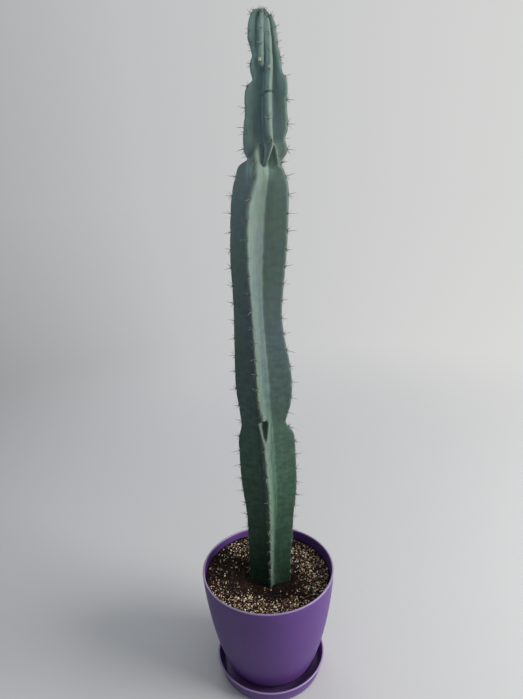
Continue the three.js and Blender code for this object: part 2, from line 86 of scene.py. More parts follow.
# Driving dimensions of the soil and what lies in it. Its clods rise over the first and the last bit of the
# way from the stem to the pot
SOIL_LEVEL = 131
SOIL_SLOPE = (-0.03, 0.035)
SOIL_PIT = {"depth": 9, "spread": 40}
SOIL_EDGE_SHARE = 0.9
SOIL_COLUMNS = 288
SOIL_RINGS = 96
CLODS = [
    {"width": 5.5, "rise": 0.9, "slice": 3.1},
    {"width": 2.1, "rise": 0.7, "slice": 7.7},
    {"width": 0.9, "rise": 0.4, "slice": 1.9},
]
CLOD_RISE = {"at_stem": 0.06, "at_pot": 0.03}
CRUMBS = {
    "count": 1500, "apart": 1.1, "size": (0.7, 2.4), "smaller": 2, "kinds": 4, "uneven": 0.4, "flatness": 0.7,
    "sink": 0.2, "place_seed": 11, "shape_seed": 70,
}
GRIT = {
    "count": 2000, "apart": 1.15, "size": (0.5, 1.4), "smaller": 1.8, "kinds": 5, "uneven": 0.25,
    "flatness": 0.8, "sink": -0.25, "place_seed": 12, "shape_seed": 50,
}
BARK = {
    "count": 110, "apart": 2, "length": (3, 8), "width": 0.9, "thick": 0.5, "tilt": 0.3, "sink": -0.5,
    "place_seed": 13,
}
CLEAR_OF_POT = 2.2
CLEAR_OF_STEM = 1.8

# Where the grit lies thick: at the right back and at the left back
GRIT_PATCHES = [
    {"middle": (45, 22), "spread": (24, 30), "share": 1},
    {"middle": (-34, 46), "spread": (18, 15), "share": 0.8},
]

# Driving dimensions of the stem
STEM_BOTTOM = 70
GROWTH_JOINT = 611
CAP_START = 722
CORE_RADIUS = 8
ROOT_TAPER = {"height": 45, "narrowest": 0.35}
FLANK_ANGLE = math.radians(15.6)
STEEP_FLANK_ANGLE = math.radians(5)
CREST_HALF_WIDTH = [
    (STEM_BOTTOM, 1.7), (150, 1.8), (230, 2), (300, 2.1), (530, 2.3), (595, 3.3), (640, 3), (742, 2.8),
]
AREOLE_NOTCH = {"depth": 0.7, "width": 9}
STEM_COLUMNS = 176
STEM_STEP = 1.22
CAP_LEVELS = 26
UPPER_COLUMNS = (28, 27, 24, 28, 28, 41)
UNEVENNESS = {"wide": 0.1, "fine": 0.07}

# Heights of the stem's axis with how far it stands to the right of the pot's axis
AXIS_LEAN = [
    (STEM_BOTTOM, 2.2), (131, 2.6), (235, 4.9), (298, 4), (345, 2.2), (399, 1), (459, -1.4),
    (500, -0.5), (534, 1.7), (575, 4.8), (603, 8), (625, 11.5), (673, 14.6), (703, 14.8), (742, 10),
]

# How far the lower growths are turned about the axis, in degrees from the front towards the right. Their
# left, right and back ribs stand at quarter turns from it
LOWER_TURN = [
    (131, -1), (250, -3), (316, -6), (372, -12), (467, -14.5), (520, -20.7), (556, -22.7), (613, -20),
]

# Turn of the front rib of the two lower growths
LOWER_FRONT = [
    (131, -1), (250, -3), (316, -6), (332, -5), (345, -5), (357, -8.5), (372, -12),
    (467, -14.5), (520, -20.7), (556, -22.7), (573, -21), (591, -15), (605, -17), (616, -25), (625, -31),
]


def along(points, height):
    """Values at heights on the smooth line through (height, value) points."""
    x, y = np.array(points, float).T
    last = len(x) - 1
    h = np.clip(height, x[0], x[last])
    i = np.clip(np.searchsorted(x, h) - 1, 0, last - 1)
    before, after = np.maximum(np.arange(last + 1) - 1, 0), np.minimum(np.arange(last + 1) + 1, last)
    slope = (y[after] - y[before]) / (x[after] - x[before])
    step = x[i + 1] - x[i]
    t = (h - x[i]) / step
    from_start = (1 + 2 * t) * (1 - t) ** 2 * y[i] + t * (1 - t) ** 2 * step * slope[i]
    to_end = t * t * (3 - 2 * t) * y[i + 1] - t * t * (1 - t) * step * slope[i + 1]
    return from_start + to_end


def areoles_between(first, top, gaps):
    """Heights of a rib's areoles up to its top, where the gap over each follows (height, gap) points."""
    heights = []
    height = first
    while height < top:
        heights.append(height)
        height += float(along(gaps, height))
    return heights


EVEN = [(0, 1), (742, 1)]


class Rib:
    """A rib: where it starts and ends, how it rises and falls, its turn, reach, areoles, width and wedge."""

    def __init__(
            self, start, end, rise, fall, turn, reach, areoles=(), slim=EVEN, offset=0, wedge=FLANK_ANGLE,
            guide=False):
        self.start, self.end, self.rise, self.fall = start, end, rise, fall
        self.turn_points, self.reach_points, self.offset = turn, reach, offset
        self.areoles, self.slim_points, self.guide = np.array(areoles, float), slim, guide
        self.wedge = wedge

    def turn(self, height):
        return along(self.turn_points, height) + self.offset

    def slim(self, height):
        """Share of the full crest width."""
        return along(self.slim_points, height)

    def share(self, height):
        """Share of its full reach at a height: a rounded rise at the foot and a rounded shoulder."""
        up = np.clip((height - self.start) / self.rise, 0, 1)
        down = np.clip((self.end - height) / self.fall, 0, 1)
        return np.sqrt(1 - (1 - up) ** 2) * np.sqrt(1 - (1 - down) ** 2)

    def notch(self, height):
        """1 at an areole, and 0 from half a notch away."""
        if not len(self.areoles):
            return 0 * height
        after = np.clip(np.searchsorted(self.areoles, height), 1, len(self.areoles) - 1)
        away = np.minimum(np.abs(height - self.areoles[after - 1]), np.abs(height - self.areoles[after]))
        return np.cos(math.pi * np.minimum(away / AREOLE_NOTCH["width"], 0.5))

    def reach(self, height):
        """Distance of the crest from the axis, with a notch at each areole."""
        full = CORE_RADIUS + (along(self.reach_points, height) - CORE_RADIUS) * self.share(height)
        return full - AREOLE_NOTCH["depth"] * self.notch(height)


LOWER_START = STEM_BOTTOM - 10

# Each rib's start and end, the heights over which it rises and falls, its turn and its reach by height
RIBS = [
    # Left rib of the two lower growths
    Rib(LOWER_START, 614, 1, 8, LOWER_TURN, offset=-90,
        areoles=areoles_between(139.8, 609, [(131, 14.5), (290, 17.5), (360, 19.4), (600, 17.6)]), reach=[
        (131, 25.2), (211, 27.5), (259, 32), (300, 32.5), (316, 31.5), (329, 27.6), (345, 28.2),
        (376, 31.3), (433, 28.2), (459, 26.6), (485, 27.4), (516, 30.6), (545, 31.6), (575, 31.4),
        (590, 29.8), (600, 27.8), (612, 24.8)]),
    # Right rib of the two lower growths, with a sharp notch between them
    Rib(LOWER_START, 611, 1, 36, LOWER_TURN, offset=90,
        areoles=areoles_between(135, 606, [(131, 14.5), (290, 17.5), (360, 18.1), (600, 17.2)]), reach=[
        (131, 24.7), (211, 27.6), (250, 31.5), (305, 32.3), (320, 31.5), (328, 28), (335, 23.3),
        (343, 25), (357, 29.7), (376, 32.3), (399, 31.8), (433, 27.8), (459, 26.2), (485, 27.9),
        (516, 30.7), (545, 31.4), (590, 30)]),
    # Back rib of the two lower growths
    Rib(LOWER_START, 612, 1, 40, LOWER_TURN, offset=180,
        areoles=areoles_between(145.3, 608, [(131, 14.5), (290, 17.5), (360, 18.4), (600, 17.6)]), reach=[
        (131, 25), (211, 27.5), (255, 31.5), (305, 32), (325, 29), (336, 26), (350, 28.5),
        (376, 31.5), (433, 28), (459, 26.5), (485, 27.6), (516, 30.5), (545, 31.5), (590, 30)]),
    # Front rib of the lowest growth
    Rib(LOWER_START, 332, 1, 12, LOWER_FRONT,
        areoles=areoles_between(135.7, 328, [
            (131, 13.4), (164, 15.3), (195, 15.2), (209, 13.5), (240, 14.3), (315, 18)]),
        slim=[(131, 0.85), (280, 1)], reach=[
        (131, 13), (150, 16), (175, 21), (211, 26.5), (250, 31), (300, 32.2), (320, 31)]),
    # Left arm of the fork over it
    Rib(312, 347, 10, 4, [(312, -6), (330, -10), (347, -17)], slim=[(312, 0.7), (347, 0.7)], reach=[
        (312, 30), (328, 29), (347, 27)]),
    # Right arm of the fork over it
    Rib(312, 347, 10, 4, [(312, -5), (330, 3), (347, 9)], slim=[(312, 0.45), (347, 0.45)], reach=[
        (312, 30), (328, 28.5), (347, 26.5)]),
    # Front rib of the second growth, which bends left where the narrow growth leaves it
    Rib(343, 627, 6, 12, LOWER_FRONT, areoles=areoles_between(
            352.6, 622, [(360, 15.7), (575, 18.6), (589, 15.5), (620, 15.5)]),
        slim=[(343, 1.2), (360, 1), (575, 1), (597, 1.3), (612, 0.85), (625, 0.55)], reach=[
        (343, 28), (357, 29.3), (376, 31.3), (400, 30.3), (433, 27.6), (459, 26.6), (485, 27.6),
        (516, 30.6), (545, 31.9), (573, 31), (590, 28.3), (606, 23.8), (625, 21.5)]),
    # Front rib of the upper growth
    Rib(604, 745, 8, 2,
        [(600, 4), (610, 9), (618, 14), (625, 17), (632, 11), (645, 5), (660, 3), (673, 2), (691, 8),
         (705, 11), (718, 16), (740, 20)],
        areoles=[627.7, 647.6, 672, 691.3, 705.5, 719.9, 732], wedge=STEEP_FLANK_ANGLE, guide=True,
        slim=[(604, 0.4), (622, 0.45), (631, 1), (645, 1.15)], reach=[
        (604, 22), (615, 22), (628, 21.4), (645, 22), (673, 20.3), (684, 16.8), (700, 15.2), (722, 14.7)]),
    # Short ridge at the upper growth's foot
    Rib(603, 627, 8, 9, [(603, 58), (609, 50), (614, 42), (620, 35.5), (627, 34)],
        slim=[(603, 0.5), (627, 0.5)], reach=[(603, 20.5), (627, 18.5)]),
    # Right rib of the upper growth
    Rib(590, 745, 8, 2, [(590, 82), (645, 76), (676, 66), (700, 54), (740, 50)],
        areoles=[608.6, 621.2, 643.5, 664.7, 683.9, 699.8, 712, 724.4, 734], guide=True, reach=[
        (590, 17), (611, 19), (620, 23), (630, 19.2), (640, 21.6), (657, 20.3), (682, 20.6), (688, 16.6),
        (694, 15.8), (700, 16.2), (707, 14.4), (722, 15)]),
    # Right back rib of the upper growth
    Rib(590, 745, 8, 2, [(590, 128), (660, 126), (690, 108), (740, 104)],
        areoles=[614, 632, 650.9, 668, 685, 698, 709.7, 722, 733], guide=True, reach=[
        (590, 17), (612, 18.5), (622, 21.5), (640, 22.5), (676, 20), (686, 15), (694, 14.8),
        (706, 13.4), (722, 12.8)]),
    # Back rib of the upper growth
    Rib(590, 745, 8, 2, [(590, 188), (660, 186), (695, 166), (740, 160)],
        areoles=[618, 638, 657, 675, 692, 706, 719, 731], guide=True, reach=[
        (590, 17), (612, 18.5), (624, 22), (640, 22.5), (676, 20.4), (686, 16), (694, 17),
        (706, 14), (722, 15)]),
    # Left back rib of the upper growth
    Rib(590, 745, 8, 2, [(590, -112), (660, -114), (740, -120)],
        areoles=[623.8, 643.2, 662, 679, 696, 710, 723, 733], guide=True, reach=[
        (590, 16), (614, 17.6), (622, 22.6), (647, 23.6), (656, 21.5), (662, 18.6), (678, 18), (684, 15),
        (694, 17), (702, 13.8), (709, 14.6), (722, 14.8)]),
    # Left rib of the upper growth
    Rib(590, 745, 8, 2, [(590, -56), (650, -58), (690, -57), (705, -53), (740, -50)],
        areoles=[616, 636, 657, 676.3, 694.5, 710, 722, 732], slim=[(684, 1), (702, 1.5)], guide=True, reach=[
        (590, 15), (611, 17), (628, 22), (647, 23.4), (676, 23), (682, 15.8), (688, 17.6), (694, 18.9),
        (698, 17.8), (702, 15.4), (708, 16.9), (715, 18.5), (722, 17.9)]),
    # Rib that starts high on the upper growth
    Rib(689, 745, 9, 2, [(689, -21), (697, -23), (705, -20.5), (713, -16), (721, -12), (740, -7)],
        areoles=[697.4, 711, 723, 733.5], wedge=STEEP_FLANK_ANGLE, reach=[
        (689, 17.6), (697, 17.2), (722, 15)]),
]
UPPER_GUIDES = [rib for rib in RIBS if rib.guide]

# How the crests roll over into the growing point, and how high each one's top stands by its turn: the left
# ones stand highest
CAP_RISE = {"valley": 12.5, "centre": 19, "spread": 17, "span": 24, "tilt": 8}
CAP_CRESTS = [(-51, 22.5), (-8, 20.5), (20, 17), (50, 16), (104, 16), (160, 18), (-120, 20.5)]

# A crease across the front rib of the upper growth, and the skin's own close levels there
CREASE = {
    "height": 670, "turn": 2, "reach": 34, "depth": 1.8, "half_width": 0.7, "slope": 0.06,
    "levels": 16, "span": 8,
}

# The waxy bloom, partly painted light and shade: how far beside a crest it is thickest, how far it reaches to
# both sides, wider on the side towards the right, the window's side at the front, as painted light, and how
# much of it there is by height, less at mid-height as painted shade where the window lights the stem most
BLOOM_AND_PAINTED_LIGHT = {"beside": 1.6, "light_side": 7, "far_side": 2.2}
BLOOM_AND_PAINTED_SHADE_BY_HEIGHT = [(STEM_BOTTOM, 1), (280, 0.85), (390, 0.6), (460, 0.6), (540, 1), (742, 1)]

# Painted light in the hollows where the top growth leaves the second one, paler the deeper they lie
HOLLOW_LIGHT = {"height": 609, "span": 13, "radius": 18, "depth": 5}

# The two large spines of each areole, the small ones round them and the finest ones at the growing point
LARGE_SPINES = [
    {"width": 0.45, "length": (7.5, 10.5), "spread": 0.25},
    {"width": 0.4, "length": (4, 6), "spread": 1.1},
]
SPINE_APART = 0.66
SPINE_SUNK = 0.5
SMALL_SPINES = {
    "count": 6, "width": 0.33, "length": (3, 7.5), "spread": (0.8, 2.2), "off": 0.5, "sunk": 0.3,
}
CROWN_SPINES = {
    "parts": (0.55, 0.85), "count": 4, "width": 0.22, "length": (2, 4.5), "spread": (0.1, 0.8), "off": 0.4,
    "sunk": 0.3, "palest": 0.25, "highest": 746,
}
FELT = {"width": 0.95, "tall": 1.15, "thick": 0.8, "raised": 0.15, "uneven": 0.12}
HAIRS = {"count": 16, "radius": 0.09, "length": (0.7, 1.3), "raised": 0.3}

# The old areoles low on the stem have bleached felt, and those of the crown are small, with few and short
# spines. Two young ones near the top have thick pale felt
OLD_FELT_TOP = 230
CROWN_START = 668
CROWN_FELT_SIZE = 0.45
CROWN_SPINE_COUNT = 3
CROWN_SPINE_LENGTH = 0.65
THICK_FELT = (691.3, 697.4)
THICK_FELT_SIZE = 1.7


def draws(seed):
    """A repeatable row of draws between 0 and 1."""
    state = seed
    while True:
        state = (state * 1664525 + 1013904223) % 4294967296
        yield state / 4294967296


def lerp(low, high, share):
    """The value at a share of the way from low to high."""
    return low + (high - low) * share


def smooth(low, high, value):
    """0 up to low, 1 from high on, and a smooth rise between them."""
    t = np.clip((value - low) / (high - low), 0, 1)
    return t * t * (3 - 2 * t)


def direction(turn):
    """The direction in plan of a turn in degrees, counted from the front (-Y) towards the right (+X)."""
    angle = np.radians(turn)
    return np.stack([np.sin(angle), -np.cos(angle), 0 * angle], -1)


def wrap_turn(turn):
    """The same turn between -180 and 180 degrees."""
    return (turn + 180) % 360 - 180


def rib_surface(rib, height, turn, margin):
    """Distance from the axis to a rib's surface: a round edge on flat flanks."""
    half_width = along(CREST_HALF_WIDTH, height) * rib.slim(height)
    off = np.radians(np.abs(wrap_turn(turn - rib.turn(height))))
    edge_centre = rib.reach(height) - half_width
    edge_radius = half_width + margin
    flank_distance = edge_centre * math.sin(rib.wedge) + edge_radius
    lean = np.minimum(off + rib.wedge, math.pi / 2)
    past_side = np.maximum(off + rib.wedge - math.pi / 2, 0)
    flank = flank_distance / np.sin(lean) * np.cos(past_side / 2)
    tangent_reach = edge_centre + edge_radius * math.sin(rib.wedge)
    inside = np.maximum(edge_radius ** 2 - (edge_centre * np.sin(off)) ** 2, 0)
    edge = edge_centre * np.cos(off) + np.sqrt(inside)
    return np.where(off > np.arctan2(edge_radius * math.cos(rib.wedge), tangent_reach), flank, edge)


def stem_surface(height, turn, margin=0.0):
    """Distance from the axis to the stem's surface, all ribs blended in crisp valleys."""
    sharpness = 14
    height, turn = np.broadcast_arrays(np.asarray(height, float), np.asarray(turn, float))
    total = np.full(height.shape, float(CORE_RADIUS + margin) ** sharpness)
    for rib in RIBS:
        total += np.where(rib.share(height) > 0, rib_surface(rib, height, turn, margin) ** sharpness, 0)
    return total ** (1 / sharpness)


def root_taper(height):
    """How much narrower the buried end of the stem is: it closes to a blunt root."""
    t = np.clip((height - STEM_BOTTOM) / ROOT_TAPER["height"], 0, 1)
    return lerp(ROOT_TAPER["narrowest"], 1, np.sqrt(1 - (1 - t) ** 2))


def on_axis(radius, turn, height, lean):
    """Points at a radius and turn from the leaning axis."""
    point = direction(turn) * np.asarray(radius)[..., None]
    point[..., 0] += lean
    point[..., 2] = height
    return point


def stem_point(height, turn, margin=0.0):
    """A point of the stem's surface, or a margin outside it."""
    bare = stem_surface(height, turn)
    radius = bare * root_taper(height) + stem_surface(height, turn, margin) - bare
    return on_axis(radius, turn, height, along(AXIS_LEAN, height))


def cap_point(part, turn):
    """A point where the crests roll over into the growing point; part is 1 at the centre."""
    rise = np.full(np.shape(turn), float(CAP_RISE["valley"]))
    for crest_turn, crest_rise in CAP_CRESTS:
        off = wrap_turn(turn - crest_turn) / CAP_RISE["spread"]
        rise = np.maximum(rise, CAP_RISE["valley"] + (crest_rise - CAP_RISE["valley"]) * np.exp(-off * off))
    angle = part * math.pi / 2
    height = CAP_START + lerp(rise, CAP_RISE["centre"], smooth(0.45, 1, part)) * math.sin(angle)
    radius = stem_surface(CAP_START, turn) * math.cos(angle)
    return on_axis(radius, turn, height, along(AXIS_LEAN, CAP_START))


def columns_between(heights, guides, columns):
    """Turns of the columns at each height: on each guide, and between them closer where the outline bends."""
    samples = 120
    bend_weight = 5
    shares = np.linspace(0, 1, samples + 1)
    rows = []
    for sector, start in enumerate(guides):
        end = guides[sector + 1] if sector + 1 < len(guides) else guides[0] + 360
        turns = start[:, None] + (end - start)[:, None] * shares
        outline = direction(turns) * stem_surface(heights[:, None], turns)[..., None]
        stride = np.diff(outline, axis=1)
        heading = np.unwrap(np.arctan2(stride[..., 1], stride[..., 0]), axis=1)
        bend = np.abs(np.diff(heading, axis=1, prepend=heading[:, :1]))
        steps = np.linalg.norm(stride, axis=-1) + bend_weight * bend
        passed = np.concatenate([np.zeros((len(heights), 1)), np.cumsum(steps, axis=1)], axis=1)
        wanted = np.arange(columns[sector]) / columns[sector]
        rows.append(np.array([np.interp(wanted * way[-1], way, turn) for way, turn in zip(passed, turns)]))
    return np.concatenate(rows, axis=1)


def stem_turns(heights):
    """Turns of the skin's columns: they follow the four lower crests, and six upper ones over the joint."""
    blend = 24
    lower = [along(LOWER_FRONT, heights)] + [along(LOWER_TURN, heights) + turn for turn in (90, 180, 270)]
    upper = [UPPER_GUIDES[0].turn(heights)]
    for rib in UPPER_GUIDES[1:]:
        upper.append(upper[0] + (rib.turn(heights) - upper[0]) % 360)
    share = smooth(GROWTH_JOINT - blend, GROWTH_JOINT + blend, heights)[:, None]
    lower_turns = columns_between(heights, lower, (STEM_COLUMNS // 4,) * 4)
    return lerp(lower_turns, columns_between(heights, upper, UPPER_COLUMNS), share)


def crease_share(height, turn):
    """1 in the middle of the crease, and 0 away from it."""
    off = wrap_turn(turn - CREASE["turn"])
    across = np.clip(1 - (off / CREASE["reach"]) ** 2, 0, 1)
    return across * np.exp(-((height - CREASE["height"] - CREASE["slope"] * off) / CREASE["half_width"]) ** 2)


def seen_relief(height, turn):
    """What lies off the plain rib form, in millimetres: slow unevenness of the flesh and one crease."""
    # Waves in radians, by the height in millimetres and the turn in degrees
    wide = np.sin(0.047 * height + 0.05 * turn) + np.sin(0.083 * height - 0.031 * turn + 1.3)
    fine = np.sin(0.31 * height + 1.7 * np.sin(0.11 * turn)) * np.sin(0.19 * turn + 0.02 * height)
    shown = smooth(SOIL_LEVEL - 4, SOIL_LEVEL + 10, height)
    uneven = UNEVENNESS["wide"] * wide + UNEVENNESS["fine"] * fine
    return shown * (uneven - CREASE["depth"] * crease_share(height, turn))


# Meshes

def only(piece):
    """Makes this the one selected and active object."""
    bpy.ops.object.select_all(action="DESELECT")
    piece.select_set(True)
    bpy.context.view_layer.objects.active = piece
    return piece


def added(name, add, **settings):
    """A primitive that is added with nothing else selected, and named."""
    bpy.ops.object.select_all(action="DESELECT")
    add(**settings)
    piece = bpy.context.active_object
    piece.name = name
    piece.data.name = name
    return piece


def edit_all():
    """Edit mode on the active object, with all of it selected."""
    bpy.ops.object.mode_set(mode="EDIT")
    bpy.ops.mesh.select_all(action="SELECT")


def seat(piece):
    """Moves the object's place, turn and scale into its mesh."""
    only(piece)
    bpy.ops.object.transform_apply(location=True, rotation=True, scale=True)
    return piece


def moulded_over(name, rows, top, bottom):
    """A globe whose rings and poles are pulled onto rows of points, first row next to the top point."""
    rings, columns = rows.shape[:2]
    piece = added(
        name, bpy.ops.mesh.primitive_uv_sphere_add, segments=columns, ring_count=rings + 1, radius=1)
    globe = np.zeros(len(piece.data.vertices) * 3, np.float32)
    piece.data.vertices.foreach_get("co", globe)
    x, y, z = globe.reshape(-1, 3).astype(float).T
    flat = np.hypot(x, y)
    ring = np.rint(np.arctan2(flat, z) / math.pi * (rings + 1)).astype(int) - 1
    column = np.rint(np.arctan2(y, x) / (2 * math.pi) * columns).astype(int) % columns
    placed = rows[np.clip(ring, 0, rings - 1), column]
    placed[ring < 0] = top
    placed[ring >= rings] = bottom
    piece.data.vertices.foreach_set("co", (placed * MM).astype(np.float32).ravel())
    piece.data.update()
    only(piece)
    bpy.ops.object.shade_smooth()
    return piece, ring, column


def give(piece, name, values):
    """A number for each vertex, which the material reads."""
    attribute = piece.data.attributes.new(name, "FLOAT", "POINT")
    attribute.data.foreach_set("value", np.asarray(values, np.float32).ravel())


def faces_of(piece):
    """Points and faces of a small modelled shape, which then goes."""
    bpy.ops.object.mode_set(mode="OBJECT")
    points = np.array([v.co for v in piece.data.vertices], float)
    faces = [tuple(f.vertices) for f in piece.data.polygons]
    bpy.data.objects.remove(piece)
    return points, faces


def copies(name, shapes, places, smooth_faces):
    """One mesh of many copies. A place is (shape index, matrix of 3 columns, point, tone)."""
    points, faces, tones, count = [], [], [], 0
    for index, matrix, place, tone in places:
        shape_points, shape_faces = shapes[index]
        points.append(shape_points @ np.asarray(matrix).T + place)
        faces += [tuple(count + corner for corner in face) for face in shape_faces]
        tones.append(np.full(len(shape_points), tone))
        count += len(shape_points)
    mesh = bpy.data.meshes.new(name)
    mesh.from_pydata((np.concatenate(points) * MM).tolist(), [], faces)
    mesh.polygons.foreach_set("use_smooth", [smooth_faces] * len(faces))
    piece = bpy.data.objects.new(name, mesh)
    bpy.context.scene.collection.objects.link(piece)
    give(piece, "tone", np.concatenate(tones))
    return piece


def upright(way, twist=0.0):
    """Three columns whose third is the way, turned about it by a twist."""
    way = way / np.linalg.norm(way)
    helper = np.array([0, 0, 1.0]) if abs(way[2]) < 0.9 else np.array([0, 1.0, 0])
    side = np.cross(helper, way)
    side /= np.linalg.norm(side)
    up = np.cross(way, side)
    first = math.cos(twist) * side + math.sin(twist) * up
    return np.stack([first, np.cross(way, first), way], 1)


# The stem

def stem_skin():
    """The stem's skin, with numbers for its material: its bloom with its painted light, its crease, and its
    hollows' painted light.
    """
    fine_from = SOIL_LEVEL - 14
    buried = np.linspace(STEM_BOTTOM, fine_from - 1, 9)
    shown = np.arange(fine_from, CAP_START, STEM_STEP)
    # The crease has closer levels of its own
    creased = CREASE["height"] + np.linspace(-0.5, 0.5, CREASE["levels"]) * CREASE["span"]
    shown = shown[np.abs(shown - CREASE["height"]) > CREASE["span"] / 2 + 0.3]
    heights = np.sort(np.concatenate([buried, shown, creased, [CAP_START]]))
    turns = stem_turns(heights)
    level = np.broadcast_to(heights[:, None], turns.shape)
    wall = stem_point(level, turns)
    wall += direction(turns) * seen_relief(level, turns)[..., None]
    parts = np.arange(1, CAP_LEVELS) / CAP_LEVELS
    cap = np.array([cap_point(part, turns[-1]) for part in parts])
    rows = np.concatenate([cap[::-1], wall[::-1]])
    row_turns = np.concatenate([np.repeat(turns[-1:], len(parts), 0), turns[::-1]])
    cap_levels = np.full((len(parts), STEM_COLUMNS), CAP_START + 4.0)
    row_levels = np.concatenate([cap_levels, level[::-1]])
    bottom = np.array([along(AXIS_LEAN, STEM_BOTTOM), 0, STEM_BOTTOM - 2])
    piece, ring, column = moulded_over("stem_skin", rows, cap_point(1, np.array(0.0)), bottom)
    ring = np.clip(ring, 0, len(rows) - 1)
    for name, share in (("bloom_and_painted_light", bloom_and_painted_light_share), ("fold", crease_share), ("hollow_light", painted_hollow_light_share)):
        give(piece, name, share(row_levels, row_turns)[ring, column])
    return piece


def bloom_and_painted_light_share(level, turn):
    """How thick the waxy bloom lies, from 0 to 1: most just beside the crests at the front and the back,
    spread wider towards the window's side as painted light and thinned at mid-height as painted shade.
    """
    bloom_and_painted_light = np.zeros(level.shape)
    for rib in RIBS:
        off_crest = np.radians(wrap_turn(turn - rib.turn(level))) * rib.reach(level) - BLOOM_AND_PAINTED_LIGHT["beside"]
        width = np.where(off_crest > 0, BLOOM_AND_PAINTED_LIGHT["light_side"], BLOOM_AND_PAINTED_LIGHT["far_side"])
        kept = rib.share(level) * np.cos(np.radians(rib.turn(level))) ** 2
        bloom_and_painted_light = np.maximum(bloom_and_painted_light, kept * np.exp(-(off_crest / width) ** 2))
    return bloom_and_painted_light * along(BLOOM_AND_PAINTED_SHADE_BY_HEIGHT, level)


def painted_hollow_light_share(level, turn):
    """1 in the hollows at the foot of the top growth, which are painted paler as painted light, and 0 away
    from them.
    """
    near = np.exp(-((level - HOLLOW_LIGHT["height"]) / HOLLOW_LIGHT["span"]) ** 2)
    return near * smooth(0, HOLLOW_LIGHT["depth"], HOLLOW_LIGHT["radius"] - stem_surface(level, turn))


def felt_size(height):
    """How large an areole's felt is against that of a full-grown one."""
    if height in THICK_FELT:
        return THICK_FELT_SIZE
    return CROWN_FELT_SIZE if height > CROWN_START else 1.0


def crest_point(height, turn):
    """A point of the stem or, higher up, of the crests that roll over into the growing point."""
    if height > CAP_START:
        return cap_point((height - CAP_START) / CAP_RISE["span"], np.array(turn))
    return stem_point(height, turn)


def areole_places():
    """Every areole, rib by rib: its place, its way out, the skin's normal, its height and its felt's size."""
    reach = 3
    places = []
    for rib in RIBS:
        for height in rib.areoles:
            turn = float(rib.turn(height))
            over_cap = max(height - CAP_START, 0)
            climb = crest_point(height + reach, turn) - crest_point(height - reach, turn)
            side = np.cross([0, 0, 1.0], direction(turn))
            normal = np.cross(side, climb)
            out = direction(turn) + np.array([0, 0, over_cap / CAP_RISE["tilt"]])
            places.append({
                "place": crest_point(height, turn), "normal": normal / np.linalg.norm(normal),
                "out": out / np.linalg.norm(out), "side": side, "height": height, "size": felt_size(height),
            })
    return places


def crown_places():
    """The young areoles that crowd on the crests round the growing point."""
    places = []
    for turn, _ in CAP_CRESTS:
        for number, part in enumerate(CROWN_SPINES["parts"]):
            place = cap_point(part, np.array(float(turn)))
            out = direction(turn) * (1 - part) * 0.7 + np.array([0, 0, 1.0])
            out /= np.linalg.norm(out)
            places.append({"place": place, "out": out, "size": 0.6 - 0.15 * number, "turn": turn})
    return places


def spine_shape():
    """One spine of unit length and radius: a swollen foot, a straight shaft and a sharp point.

    A cone is cut at two heights, and each cut is made narrower or wider.
    """
    piece = seat(added(
        "spine", bpy.ops.mesh.primitive_cone_add, vertices=6, radius1=1, radius2=0.08, depth=1,
        location=(0, 0, 0.5)))
    for height, scale in ((0.1, 0.72), (0.7, 1.35)):
        edit_all()
        bpy.ops.mesh.bisect(plane_co=(0, 0, height), plane_no=(0, 0, 1))
        bpy.ops.transform.resize(value=(scale, scale, 1), center_override=(0, 0, height))
    return faces_of(piece)


def uneven_ball(name, subdivisions, offset, uniform, seed):
    """A ball of unit size, each of whose corners is pushed its own way."""
    piece = added(name, bpy.ops.mesh.primitive_ico_sphere_add, subdivisions=subdivisions, radius=1)
    edit_all()
    bpy.ops.transform.vertex_random(offset=offset, uniform=uniform, seed=seed)
    return faces_of(piece)


def hair_shape():
    """One hair of unit length and radius: a three-sided cone."""
    return faces_of(seat(added(
        "hair", bpy.ops.mesh.primitive_cone_add, vertices=3, radius1=1, radius2=0, depth=1,
        location=(0, 0, 0.5))))


def spine_way(out, side, spread, round_turn):
    """A spine's way, which leans off the way out at a turn round it, and the side that it leans to."""
    up = np.cross(out, side)
    lean = up * math.sin(round_turn) + side * math.cos(round_turn)
    return out + lean * spread, lean


